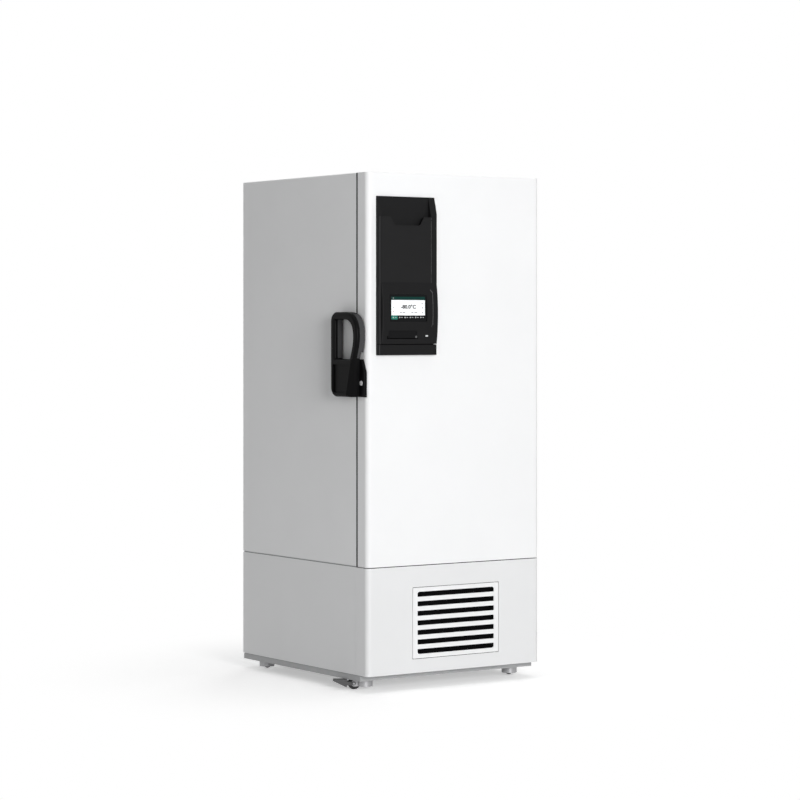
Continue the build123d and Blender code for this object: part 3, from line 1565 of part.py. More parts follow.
# Rear spacers: tapered blocks that keep the cabinet's back off a wall
spacer_x = right - spacer_side_inset
with BuildPart() as rear_spacers:
    for x in (-spacer_x, spacer_x):
        for z in (upper_bottom + spacer_bottom_inset, height - spacer_top_inset):
            with BuildSketch(front_plane(back)):
                with Locations((x, z)):
                    RectangleRounded(spacer_width, spacer_height, spacer_draft)
            extrude(amount=-spacer_depth, taper=spacer_draft)
write(rear_spacers, "rear_spacers")
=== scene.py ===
"""Dresses an upright laboratory freezer: finishes, display, door seal, filter, fasteners and studio.

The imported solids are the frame. Lengths are in metres, +Z is up and the door faces -Y.
"""

import json
import logging
import math
from collections.abc import Callable
from dataclasses import dataclass
from enum import Enum

import bpy
from mathutils import Matrix, Vector


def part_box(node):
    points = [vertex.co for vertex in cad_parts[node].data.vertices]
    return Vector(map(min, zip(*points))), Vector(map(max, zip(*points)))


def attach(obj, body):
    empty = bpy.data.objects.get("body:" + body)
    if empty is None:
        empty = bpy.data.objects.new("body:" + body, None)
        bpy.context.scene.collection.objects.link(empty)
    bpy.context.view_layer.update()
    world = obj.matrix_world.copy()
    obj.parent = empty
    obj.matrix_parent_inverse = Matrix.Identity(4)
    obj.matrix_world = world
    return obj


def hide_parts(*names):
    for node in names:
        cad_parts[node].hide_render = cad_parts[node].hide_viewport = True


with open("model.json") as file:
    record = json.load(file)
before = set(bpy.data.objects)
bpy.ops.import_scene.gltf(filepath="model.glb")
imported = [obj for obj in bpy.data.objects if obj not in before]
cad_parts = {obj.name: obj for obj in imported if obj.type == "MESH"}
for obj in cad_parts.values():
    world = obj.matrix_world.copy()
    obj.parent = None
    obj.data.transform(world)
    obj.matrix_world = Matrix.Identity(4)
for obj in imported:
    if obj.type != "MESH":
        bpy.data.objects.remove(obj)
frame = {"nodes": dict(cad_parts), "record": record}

LOG = logging.getLogger("freezer")
MM = 0.001
Pair = tuple[float, float]
Triple = tuple[float, float, float]
Piece = bpy.types.Object
Tree = bpy.types.NodeTree
Socket = bpy.types.NodeSocket
FaceTest = Callable[[Vector, Vector], bool]
WHITE = (1.0, 1.0, 1.0, 1.0)
EVEN = (1.0, 1.0, 1.0)
QUARTER_TURN = math.radians(90.0)
# Angle between two faces from which their edge is sharp
SHARP = math.radians(35.0)
# Least part of a normal along an axis for its face to look that way
FACING = 0.9
# Scale, detail and range of the faint clouds in every finish
CLOUD_RATE = 3.5
CLOUD_DETAIL = 5.0
CLOUD_RANGE = (0.3, 0.75)


class Grain(Enum):
    """Fine pattern of a surface."""

    PEEL = "sprayed paint"
    SPARK = "moulded plastic"
    BRUSHED = "brushed metal"
    SPANGLE = "zinc crystals"
    CELLS = "foam cells"
    FIBRE = "matted fibres"


# Stretch along the three axes and detail of each grain that is drawn by noise
NOISE_SHAPES: dict[Grain, tuple[Triple, float]] = {
    Grain.PEEL: (EVEN, 2.0),
    Grain.SPARK: (EVEN, 2.0),
    Grain.BRUSHED: ((0.02, 0.02, 1.0), 4.0),
    Grain.FIBRE: ((1.0, 1.0, 0.15), 8.0),
}


def fill_inputs(tree: Tree, node: bpy.types.Node, inputs: dict) -> None:
    """Sets or links inputs of a shader node.

    Args:
        tree: Node tree of the node.
        node: Node to fill.
        inputs: Value of each input, or the socket that feeds it.
    """
    for key, value in inputs.items():
        if isinstance(value, Socket):
            tree.links.new(value, node.inputs[key])
        else:
            node.inputs[key].default_value = value


def add_node(tree: Tree, kind: str, inputs: dict) -> bpy.types.Node:
    """Adds a shader node with its inputs.

    Args:
        tree: Node tree to add to.
        kind: Type of the node.
        inputs: Value of each input, or the socket that feeds it.

    Returns:
        The node.
    """
    node = tree.nodes.new(kind)
    fill_inputs(tree, node, inputs)
    return node


@dataclass(frozen=True)
class Finish:
    """One surface finish, drawn by noise in the piece's own coordinates.

    Attributes:
        name: Name of the material.
        colour: Main colour.
        shade: Colour of the slightly darker patches.
        roughness: Lowest and highest roughness.
        grain: Kind of fine pattern.
        pitch: Size of one grain, in metres.
        relief: Depth of the grain, in metres.
        metallic: Share of metal.
        specular: Specular level of the shader.
        glow: Strength of the surface's own light.
    """

    name: str
    colour: Triple
    shade: Triple
    roughness: Pair
    grain: Grain
    pitch: float
    relief: float
    metallic: float = 0.0
    specular: float = 0.5
    glow: float = 0.0

    def make(self) -> bpy.types.Material:
        """Builds the material.

        Returns:
            The node material.
        """
        material = bpy.data.materials.new(self.name)
        material.use_nodes = True
        tree = material.node_tree
        height = self._grain(tree)
        blend = tree.nodes.new("ShaderNodeMix")
        blend.data_type = "RGBA"
        colours = {"A": (*self.colour, 1.0), "B": (*self.shade, 1.0), "Factor": self._patches(tree)}
        fill_inputs(tree, blend, colours)
        smooth, rough = self.roughness
        gloss = add_node(tree, "ShaderNodeMapRange", {"To Min": smooth, "To Max": rough, "Value": height})
        bump = add_node(tree, "ShaderNodeBump", {"Distance": self.relief, "Height": height})
        looks = {
            "Metallic": self.metallic,
            "Specular IOR Level": self.specular,
            "Base Color": blend.outputs["Result"],
            "Roughness": gloss.outputs["Result"],
            "Normal": bump.outputs["Normal"],
        }
        if self.glow > 0.0:
            looks["Emission Color"] = blend.outputs["Result"]
            looks["Emission Strength"] = self.glow
        fill_inputs(tree, tree.nodes["Principled BSDF"], looks)
        return material

    @staticmethod
    def _place(tree: Tree, stretch: Triple) -> Socket:
        """Adds stretched object coordinates.

        Args:
            tree: Node tree to add to.
            stretch: Scale along X, Y and Z.

        Returns:
            The vector socket.
        """
        spot = tree.nodes.new("ShaderNodeTexCoord").outputs["Object"]
        mapping = add_node(tree, "ShaderNodeMapping", {"Scale": stretch, "Vector": spot})
        return mapping.outputs["Vector"]

    def _patches(self, tree: Tree) -> Socket:
        """Adds the broad, faint clouds that mix the two colours.

        Args:
            tree: Node tree to add to.

        Returns:
            The factor socket.
        """
        spot = self._place(tree, EVEN)
        shape = {"Scale": CLOUD_RATE, "Detail": CLOUD_DETAIL, "Vector": spot}
        clouds = add_node(tree, "ShaderNodeTexNoise", shape).outputs["Fac"]
        low, high = CLOUD_RANGE
        ramp = add_node(tree, "ShaderNodeMapRange", {"From Min": low, "From Max": high, "Value": clouds})
        return ramp.outputs["Result"]

    def _grain(self, tree: Tree) -> Socket:
        """Adds the fine pattern.

        Args:
            tree: Node tree to add to.

        Returns:
            The height socket, from 0 to 1.
        """
        rate = 1.0 / self.pitch
        if self.grain not in NOISE_SHAPES:
            shape = {"Scale": rate, "Vector": self._place(tree, EVEN)}
            cells = add_node(tree, "ShaderNodeTexVoronoi", shape)
            return cells.outputs["Distance" if self.grain is Grain.CELLS else "Color"]
        stretch, detail = NOISE_SHAPES[self.grain]
        shape = {"Scale": rate, "Detail": detail, "Vector": self._place(tree, stretch)}
        return add_node(tree, "ShaderNodeTexNoise", shape).outputs["Fac"]


def screen_finish(name: str, colour: Triple, shade: Triple, glow: float = 0.0) -> Finish:
    """Describes one colour of the display's picture.

    Args:
        name: Name of the material.
        colour: Main colour.
        shade: Colour of the slightly darker patches.
        glow: Strength of its own light.

    Returns:
        The finish.
    """
    return Finish(name, colour, shade, (0.2, 0.3), Grain.PEEL, 0.004, 0.000004, specular=0.05, glow=glow)


WHITE_PAINT = Finish(
    "white_paint", (0.9, 0.905, 0.91), (0.88, 0.885, 0.89), (0.46, 0.58),
    Grain.PEEL, 0.0016, 0.00003, specular=0.18,
)
GRILLE_PAINT = Finish(
    "grille_paint", (0.88, 0.885, 0.89), (0.85, 0.855, 0.86), (0.32, 0.45), Grain.PEEL, 0.0016, 0.00003
)
GALVANISED = Finish(
    "galvanised", (0.6, 0.62, 0.63), (0.52, 0.54, 0.55), (0.3, 0.5),
    Grain.SPANGLE, 0.012, 0.00001, metallic=0.8,
)
FOAM = Finish("foam", (0.83, 0.74, 0.5), (0.76, 0.66, 0.43), (0.8, 0.95), Grain.CELLS, 0.0015, 0.0003)
LINER_STEEL = Finish(
    "liner_steel", (0.4, 0.41, 0.42), (0.35, 0.36, 0.37), (0.4, 0.55),
    Grain.BRUSHED, 0.0008, 0.00002, metallic=1.0,
)
COLD_PLATE = Finish(
    "cold_plate", (0.7, 0.71, 0.72), (0.66, 0.67, 0.68), (0.3, 0.45),
    Grain.BRUSHED, 0.001, 0.00002, metallic=1.0,
)
WHITE_PLASTIC = Finish(
    "white_plastic", (0.74, 0.75, 0.755), (0.71, 0.72, 0.725), (0.4, 0.55), Grain.SPARK, 0.0012, 0.00004
)
# Near-black rubber of the door seal; the same black paints the shade in the gap round the door and in the
# seam under it.
BLACK_SEAL_AND_SHADE = Finish(
    "black_seal_and_shade", (0.003, 0.003, 0.0032), (0.0024, 0.0024, 0.0026), (0.55, 0.75),
    Grain.SPARK, 0.0011, 0.00005, specular=0.1,
)
HINGE_PAINT = Finish(
    "hinge_paint", (0.82, 0.83, 0.835), (0.78, 0.79, 0.795), (0.3, 0.45), Grain.PEEL, 0.0012, 0.00003
)
PANEL_PLASTIC = Finish(
    "panel_plastic", (0.011, 0.011, 0.0115), (0.0095, 0.0095, 0.01), (0.36, 0.52),
    Grain.SPARK, 0.0009, 0.00005, specular=0.075,
)
POCKET_PLASTIC = Finish(
    "pocket_plastic", (0.0138, 0.0138, 0.0143), (0.012, 0.012, 0.0125), (0.36, 0.5),
    Grain.SPARK, 0.0009, 0.00006, specular=0.085,
)
SCREEN_GLASS = Finish(
    "screen_glass", (0.005, 0.0055, 0.006), (0.004, 0.0045, 0.005), (0.05, 0.12),
    Grain.PEEL, 0.004, 0.000004, specular=0.1,
)
FLAP_PLASTIC = Finish(
    "flap_plastic", (0.0055, 0.0055, 0.006), (0.0045, 0.0045, 0.005), (0.3, 0.45),
    Grain.SPARK, 0.0008, 0.00004, specular=0.08,
)
# The white paint made darker for the lower front and side panels: painted shade of the weaker light near
# the floor.
LOWER_SHADED_PAINT = Finish(
    "lower_shaded_paint", (0.8, 0.805, 0.81), (0.78, 0.785, 0.79), (0.3, 0.42), Grain.PEEL, 0.0016, 0.00003
)
# Flat black that paints the shade in the groove round the flap and in the gap over the trim bar.
PAINTED_SHADE_BLACK = Finish(
    "painted_shade_black", (0.0006, 0.0006, 0.0007), (0.0005, 0.0005, 0.0006), (0.6, 0.8),
    Grain.SPARK, 0.001, 0.00002, specular=0.0,
)
# Painted sheen: lighter grey on the handle's walls that face the front, where the light in front reflects.
GRIP_SHEEN = Finish(
    "grip_sheen_paint", (0.05, 0.05, 0.052), (0.043, 0.043, 0.045), (0.45, 0.6),
    Grain.SPARK, 0.0008, 0.00004, specular=0.2,
)
LAMP_LENS = Finish(
    "lamp_lens", (0.62, 0.64, 0.64), (0.56, 0.58, 0.58), (0.1, 0.2), Grain.PEEL, 0.002, 0.00001
)
HANDLE_PLASTIC = Finish(
    "handle_plastic", (0.0045, 0.0045, 0.0048), (0.0036, 0.0036, 0.0039), (0.3, 0.45),
    Grain.SPARK, 0.0007, 0.00004, specular=0.05,
)
LATCH_STEEL = Finish(
    "latch_steel", (0.5, 0.51, 0.52), (0.44, 0.45, 0.46), (0.28, 0.45),
    Grain.BRUSHED, 0.0008, 0.00002, metallic=1.0,
)
# Chrome of the lock with a near-white, only partly metallic colour, so that it looks bright whatever it
# reflects: painted reflection.
LOCK_GLEAM = Finish(
    "lock_chrome", (0.9, 0.9, 0.91), (0.85, 0.85, 0.86), (0.2, 0.35),
    Grain.BRUSHED, 0.0005, 0.00001, metallic=0.4,
)
FRAME_PAINT = Finish(
    "frame_paint", (0.32, 0.33, 0.34), (0.27, 0.28, 0.29), (0.4, 0.6), Grain.PEEL, 0.0014, 0.00004
)
SKIRT_PAINT = Finish(
    "skirt_paint", (0.42, 0.425, 0.43), (0.39, 0.395, 0.4), (0.35, 0.5), Grain.PEEL, 0.0014, 0.00004
)
# Lighter grey that paints highlights: the line along the display's raised edge and the flap's finger notch.
HIGHLIGHT_GREY = Finish(
    "painted_highlight_grey", (0.09, 0.09, 0.092), (0.08, 0.08, 0.082), (0.25, 0.4), Grain.SPARK, 0.0007, 0.00003
)
# Painted highlight down the left edge of the panel's housing and trim bar.
EDGE_HIGHLIGHT = Finish(
    "edge_painted_highlight", (0.03, 0.03, 0.032), (0.025, 0.025, 0.027), (0.3, 0.45), Grain.SPARK, 0.0007, 0.00003
)
# Light grey of the pocket's rib: painted highlight on the pocket's right edge.
RIB_HIGHLIGHT = Finish(
    "rib_painted_highlight", (0.2, 0.2, 0.205), (0.18, 0.18, 0.185), (0.25, 0.4), Grain.SPARK, 0.0007, 0.00003
)
CASTER_ZINC = Finish(
    "caster_zinc", (0.42, 0.42, 0.43), (0.36, 0.36, 0.37), (0.32, 0.5),
    Grain.SPANGLE, 0.004, 0.00001, metallic=0.6,
)
WHEEL_RUBBER = Finish(
    "wheel_rubber", (0.03, 0.03, 0.031), (0.02, 0.02, 0.021), (0.5, 0.75),
    Grain.SPARK, 0.0012, 0.00008, specular=0.3,
)
PEDAL_PLASTIC = Finish(
    "pedal_plastic", (0.085, 0.085, 0.087), (0.07, 0.07, 0.072), (0.4, 0.6),
    Grain.SPARK, 0.0009, 0.00005, specular=0.35,
)
FILTER_FIBRE = Finish(
    "filter_fibre", (0.006, 0.006, 0.0065), (0.004, 0.004, 0.0045), (0.8, 0.95),
    Grain.FIBRE, 0.0012, 0.0003, specular=0.02,
)
FIN_METAL = Finish(
    "fin_metal", (0.6, 0.61, 0.62), (0.5, 0.51, 0.52), (0.3, 0.5),
    Grain.BRUSHED, 0.0012, 0.00003, metallic=1.0,
)
MOTOR_PAINT = Finish(
    "motor_paint", (0.02, 0.02, 0.022), (0.014, 0.014, 0.016), (0.3, 0.5), Grain.PEEL, 0.0015, 0.00005
)
FAN_PLASTIC = Finish(
    "fan_plastic", (0.025, 0.025, 0.027), (0.018, 0.018, 0.02), (0.4, 0.6), Grain.SPARK, 0.001, 0.00005
)
GROMMET_RUBBER = Finish(
    "grommet_rubber", (0.02, 0.02, 0.02), (0.014, 0.014, 0.014), (0.6, 0.8), Grain.SPARK, 0.0012, 0.00006
)
EXCHANGER_STEEL = Finish(
    "exchanger_steel", (0.55, 0.53, 0.49), (0.46, 0.44, 0.4), (0.3, 0.5),
    Grain.BRUSHED, 0.001, 0.00003, metallic=1.0,
)
BOX_PAINT = Finish(
    "box_paint", (0.5, 0.51, 0.52), (0.45, 0.46, 0.47), (0.4, 0.55), Grain.PEEL, 0.0015, 0.00004
)
INLET_PLASTIC = Finish(
    "inlet_plastic", (0.014, 0.014, 0.015), (0.01, 0.01, 0.011), (0.4, 0.6), Grain.SPARK, 0.001, 0.00006
)
SCREEN_WHITE = screen_finish("screen_white", (0.86, 0.87, 0.88), (0.84, 0.86, 0.87), glow=0.2)
SCREEN_PALE = screen_finish("screen_pale", (0.5, 0.52, 0.52), (0.46, 0.48, 0.48), glow=0.1)
SCREEN_TEAL = screen_finish("screen_teal", (0.006, 0.04, 0.033), (0.005, 0.035, 0.029))
SCREEN_TAB = screen_finish("screen_tab", (0.03, 0.2, 0.15), (0.026, 0.18, 0.135))
SCREEN_BLACK = screen_finish("screen_black", (0.006, 0.006, 0.007), (0.005, 0.005, 0.006))
SCREEN_INK = screen_finish("screen_ink", (0.006, 0.006, 0.007), (0.005, 0.005, 0.006))
SCREEN_GREY = screen_finish("screen_grey", (0.2, 0.2, 0.21), (0.17, 0.17, 0.18))
SCREEN_RED = screen_finish("screen_red", (0.35, 0.05, 0.06), (0.32, 0.045, 0.055))
SCREW_STEEL = Finish(
    "screw_steel", (0.55, 0.56, 0.57), (0.47, 0.48, 0.49), (0.25, 0.4),
    Grain.BRUSHED, 0.0004, 0.00001, metallic=1.0,
)

SLOT_FINISHES: dict[str, Finish] = {
    "white_paint": WHITE_PAINT,
    "galvanised": GALVANISED,
    "foam": FOAM,
    "steel_liner": LINER_STEEL,
    "cold_plate": COLD_PLATE,
    "white_plastic": WHITE_PLASTIC,
    "gasket_grey": BLACK_SEAL_AND_SHADE,
    "hinge_metal": HINGE_PAINT,
    "panel_black": PANEL_PLASTIC,
    "pocket_black": POCKET_PLASTIC,
    "screen_glass": SCREEN_GLASS,
    "flap_black": FLAP_PLASTIC,
    "lamp_lens": LAMP_LENS,
    "handle_black": HANDLE_PLASTIC,
    "latch_steel": LATCH_STEEL,
    "lock_chrome": LOCK_GLEAM,
    "frame_grey": FRAME_PAINT,
    "caster_zinc": CASTER_ZINC,
    "wheel_rubber": WHEEL_RUBBER,
    "pedal_black": PEDAL_PLASTIC,
    "filter_fibre": FILTER_FIBRE,
    "fin_aluminium": FIN_METAL,
    "motor_black": MOTOR_PAINT,
    "fan_plastic": FAN_PLASTIC,
    "grommet_rubber": GROMMET_RUBBER,
    "exchanger_steel": EXCHANGER_STEEL,
    "box_grey": BOX_PAINT,
    "inlet_black": INLET_PLASTIC,
}

NODE_FINISHES: dict[str, Finish] = {
    "front_grille": GRILLE_PAINT,
    "base_skirt": SKIRT_PAINT,
    "lower_front_panel": LOWER_SHADED_PAINT,
    "lower_side_panels": LOWER_SHADED_PAINT,
}


class Palette:
    """Keeps one material for each finish."""

    def __init__(self) -> None:
        """Starts with no material made."""
        self._made: dict[str, bpy.types.Material] = {}

    def get(self, finish: Finish) -> bpy.types.Material:
        """Gives a finish's material, made at its first use.

        Args:
            finish: The finish wanted.

        Returns:
            Its material.
        """
        if finish.name not in self._made:
            self._made[finish.name] = finish.make()
        return self._made[finish.name]

    def paint(self, piece: Piece, finish: Finish) -> None:
        """Gives a piece one finish all over.

        Args:
            piece: Mesh object to paint.
            finish: Finish that it gets.
        """
        material = self.get(finish)
        if piece.material_slots:
            for slot in piece.material_slots:
                slot.material = material
        else:
            piece.data.materials.append(material)


PALETTE = Palette()


def open_mesh() -> None:
    """Enters the edit mode of the active piece."""
    bpy.ops.object.mode_set(mode="EDIT")


def close_mesh() -> None:
    """Leaves the edit mode."""
    bpy.ops.object.mode_set(mode="OBJECT")


def clear_selection() -> None:
    """Leaves edit mode and deselects everything."""
    if bpy.context.mode != "OBJECT":
        close_mesh()
    bpy.ops.object.select_all(action="DESELECT")


def make_active(piece: Piece) -> None:
    """Selects one piece alone and makes it active.

    Args:
        piece: Object to select.
    """
    clear_selection()
    piece.select_set(True)
    bpy.context.view_layer.objects.active = piece


def name_piece(name: str) -> Piece:
    """Applies the active object's place and names it.

    Args:
        name: Name of the piece.

    Returns:
        The piece.
    """
    bpy.ops.object.transform_apply(location=True, rotation=True, scale=True)
    piece = bpy.context.active_object
    piece.name = name
    piece.data.name = name
    return piece


def add_block(name: str, low: Vector, high: Vector) -> Piece:
    """Adds a box between two corners.

    Args:
        name: Name of the piece.
        low: Lowest corner.
        high: Highest corner.

    Returns:
        The box.
    """
    clear_selection()
    bpy.ops.mesh.primitive_cube_add(size=1.0, location=(low + high) / 2, scale=high - low)
    return name_piece(name)


def start_picking(piece: Piece, kind: str) -> None:
    """Makes a piece active with nothing of its mesh selected.

    Args:
        piece: Mesh object to edit.
        kind: What is picked next: "VERT", "EDGE" or "FACE".
    """
    make_active(piece)
    open_mesh()
    bpy.ops.mesh.select_mode(type=kind)
    bpy.ops.mesh.select_all(action="DESELECT")
    close_mesh()


def pick_faces(piece: Piece, wanted: FaceTest) -> None:
    """Selects the faces that pass a test, and stays in edit mode.

    Args:
        piece: Mesh object to edit.
        wanted: Test of a face's centre and normal.
    """
    start_picking(piece, "FACE")
    for face in piece.data.polygons:
        face.select = wanted(face.center, face.normal)
    open_mesh()


def open_frame(piece: Piece, band: float) -> None:
    """Opens a box along Y, so that a frame stays.

    Args:
        piece: Box to open.
        band: Width of the frame.
    """
    pick_faces(piece, lambda centre, normal: abs(normal.y) > FACING)
    bpy.ops.mesh.inset(thickness=band, depth=0.0, use_individual=True)
    bpy.ops.mesh.bridge_edge_loops()
    close_mesh()


def round_edges(piece: Piece, width: float, segments: int = 3) -> None:
    """Rounds the sharp edges of a piece with an applied modifier.

    Args:
        piece: Mesh object to round.
        width: Width of the rounding.
        segments: Steps across it.
    """
    make_active(piece)
    rounding = piece.modifiers.new("rounding", "BEVEL")
    rounding.width = width
    rounding.segments = segments
    rounding.limit_method = "ANGLE"
    rounding.angle_limit = SHARP
    bpy.ops.object.modifier_apply(modifier=rounding.name)


def join_pieces(name: str, pieces: list[Piece]) -> Piece:
    """Joins pieces of one kind into one object.

    Args:
        name: Name of the joined piece.
        pieces: Mesh objects to join.

    Returns:
        The joined piece.
    """
    clear_selection()
    for piece in pieces:
        piece.select_set(True)
    bpy.context.view_layer.objects.active = pieces[0]
    bpy.ops.object.join()
    return name_piece(name)


def settle(piece: Piece, body: str, finish: Finish) -> Piece:
    """Smooths and paints a finished piece and lets it ride on its body.

    Args:
        piece: The finished mesh object.
        body: Body that it moves with.
        finish: Finish that it gets.

    Returns:
        The same piece.
    """
    make_active(piece)
    bpy.ops.object.shade_smooth_by_angle(angle=SHARP)
    PALETTE.paint(piece, finish)
    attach(piece, body)
    LOG.info("piece %s rides on %s", piece.name, body)
    return piece


@dataclass(frozen=True)
class Screw:
    """Pan-head screw with a round recess, modelled once and copied.

    Attributes:
        radius: Radius of the head.
        height: Height of the head.
        rim: Share of the radius that the slope round the top covers.
        rise: Share of the height that the slope adds.
        recess: Share of the radius that the recess covers.
        depth: Share of the height that the recess is deep.
        rounding: Share of the height that the edges are rounded.
        sides: Number of sides of the head.
    """

    radius: float = 5.0 * MM
    height: float = 2.2 * MM
    rim: float = 0.3
    rise: float = 0.25
    recess: float = 0.45
    depth: float = 0.6
    rounding: float = 0.12
    sides: int = 16

    def _model(self) -> Piece:
        """Models one head at the origin, along +Z.

        Returns:
            The head.
        """
        clear_selection()
        bpy.ops.mesh.primitive_cylinder_add(
            vertices=self.sides, radius=self.radius, depth=self.height, location=(0.0, 0.0, self.height / 2)
        )
        head = name_piece("screw_head")
        pick_faces(head, lambda centre, normal: normal.z > FACING)
        bpy.ops.mesh.inset(thickness=self.radius * self.rim, depth=self.height * self.rise)
        bpy.ops.mesh.inset(thickness=self.radius * (1.0 - self.rim - self.recess), depth=0.0)
        drop = (0.0, 0.0, -self.height * self.depth)
        bpy.ops.mesh.extrude_region_move(TRANSFORM_OT_translate={"value": drop})
        close_mesh()
        round_edges(head, self.height * self.rounding, segments=2)
        return head

    def place(self, name: str, spots: list[Vector], outward: Vector) -> Piece:
        """Sets copies of the head at several spots of one face.

        Args:
            name: Name of the joined piece.
            spots: Places on the face.
            outward: Direction that the heads face.

        Returns:
            One piece with all the heads.
        """
        head = self._model()
        turn = outward.to_track_quat("Z", "Y").to_matrix().to_4x4()
        copies = []
        for spot in spots:
            copy = head.copy()
            copy.data = head.data.copy()
            bpy.context.scene.collection.objects.link(copy)
            copy.matrix_world = Matrix.Translation(spot) @ turn
            copies.append(copy)
        bpy.data.objects.remove(head)
        for copy in copies:
            make_active(copy)
            bpy.ops.object.transform_apply(location=True, rotation=True, scale=True)
        return join_pieces(name, copies)


@dataclass
class DoorSeal:
    """Soft bellows frame between the door and the cabinet.

    Attributes:
        band: Width of the frame's band.
        waist: Depth of the fold round its middle.
        rounding: Rounding of its edges.
        folds: Places of the fold's lines, as shares of the depth.
        middle: Share of the depth on either side of the middle that is drawn in.
    """

    band: float = 24.0 * MM
    waist: float = 5.0 * MM
    rounding: float = 1.2 * MM
    folds: tuple[float, ...] = (0.3, 0.45, 0.55, 0.7)
    middle: float = 0.06

    def build(self) -> Piece:
        """Models the frame in the space of its solid.

        Returns:
            The seal.
        """
        low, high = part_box("door_gasket")
        seal = add_block("door_seal", low, high)
        open_frame(seal, self.band)
        depth = high.y - low.y
        for share in self.folds:
            pick_faces(seal, lambda centre, normal: True)
            bpy.ops.mesh.bisect(plane_co=(0.0, low.y + depth * share, 0.0), plane_no=(0.0, 1.0, 0.0))
            close_mesh()
        centre_y = (low.y + high.y) / 2
        pick_faces(seal, lambda centre, normal: abs(centre.y - centre_y) < depth * self.middle)
        bpy.ops.transform.shrink_fatten(value=-self.waist)
        close_mesh()
        round_edges(seal, self.rounding)
        return seal

    def dress(self) -> None:
        """Paints the seal and lets it stand for its solid."""
        seal = settle(self.build(), "door", BLACK_SEAL_AND_SHADE)
        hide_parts("door_gasket")


@dataclass
class DoorGapShade:
    """Black strips in the gap round the door, free of the hinges: painted shade that darkens the gap.

    Attributes:
        inset: Distance of the strips from the door's sides.
        play: Gap between the strips and the cabinet.
        hinge_room: Length along the hinge side without a strip.
    """

    inset: float = 0.6 * MM
    play: float = 0.6 * MM
    hinge_room: float = 90.0 * MM

    def build(self) -> Piece:
        """Models the three strips of painted shade in the gap.

        Returns:
            The lip.
        """
        low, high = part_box("door_shell")
        inner_low, inner_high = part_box("door_gasket")
        near = high.y
        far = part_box("cabinet_shell")[0].y - self.play
        left = low.x + self.inset
        right = high.x - self.hinge_room
        bottom = low.z + self.inset
        top = high.z - self.inset
        # Painted shade: black strips fill the gap on the left, top and bottom of the door.
        strips = [
            add_block("door_gap_shade_left", Vector((left, near, bottom)), Vector((inner_low.x, far, top))),
            add_block("door_gap_shade_top", Vector((inner_low.x, near, inner_high.z)), Vector((right, far, top))),
            add_block("door_gap_shade_bottom", Vector((inner_low.x, near, bottom)), Vector((right, far, inner_low.z))),
        ]
        return join_pieces("door_gap_shade", strips)

    def dress(self) -> None:
        """Paints the strips black as painted shade and lets them ride on the door."""
        settle(self.build(), "door", BLACK_SEAL_AND_SHADE)


@dataclass
class AirFilter:
    """Pleated pad in a frame behind the grille.

    Attributes:
        border: Width of the frame.
        pleats: Number of folds.
        skin: Thickness of the pleated fibre.
        fold: Share of the filter's depth that a pleat has.
        rounding: Rounding of the frame's edges.
        places: Decimal places by which columns of points are told apart.
    """

    border: float = 14.0 * MM
    pleats: int = 40
    skin: float = 0.8 * MM
    fold: float = 0.35
    rounding: float = 1.0 * MM
    places: int = 6

    def _frame(self, low: Vector, high: Vector) -> Piece:
        """Models the frame.

        Args:
            low: Lowest corner of the filter.
            high: Highest corner of the filter.

        Returns:
            The frame.
        """
        rim = add_block("filter_frame", low, high)
        open_frame(rim, self.border)
        round_edges(rim, self.rounding, segments=2)
        return rim

    def _pad(self, low: Vector, high: Vector) -> Piece:
        """Models the pleats inside the frame.

        Args:
            low: Lowest corner of the filter.
            high: Highest corner of the filter.

        Returns:
            The pleated pad.
        """
        clear_selection()
        bpy.ops.mesh.primitive_grid_add(x_subdivisions=2 * self.pleats, y_subdivisions=1, size=1.0)
        pad = name_piece("filter_pleats")
        make_active(pad)
        pad.scale = (
            (high.x - low.x - 2 * self.border) / pad.dimensions.x,
            (high.z - low.z - 2 * self.border) / pad.dimensions.y,
            1.0,
        )
        pad.rotation_euler = (QUARTER_TURN, 0.0, 0.0)
        pad.location = (low + high) / 2
        bpy.ops.object.transform_apply(location=True, rotation=True, scale=True)
        columns = sorted({round(vertex.co.x, self.places) for vertex in pad.data.vertices})
        forward = set(columns[::2])
        start_picking(pad, "VERT")
        for vertex in pad.data.vertices:
            vertex.select = round(vertex.co.x, self.places) in forward
        open_mesh()
        bpy.ops.transform.translate(value=(0.0, -(high.y - low.y) * self.fold, 0.0))
        close_mesh()
        wall = pad.modifiers.new("wall", "SOLIDIFY")
        wall.thickness = self.skin
        bpy.ops.object.modifier_apply(modifier=wall.name)
        return pad

    def dress(self) -> None:
        """Paints frame and pleats and lets them stand for their solid."""
        low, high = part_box("air_filter")
        rim = settle(self._frame(low, high), "cabinet", PANEL_PLASTIC)
        settle(self._pad(low, high), "cabinet", FILTER_FIBRE)
        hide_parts("air_filter")


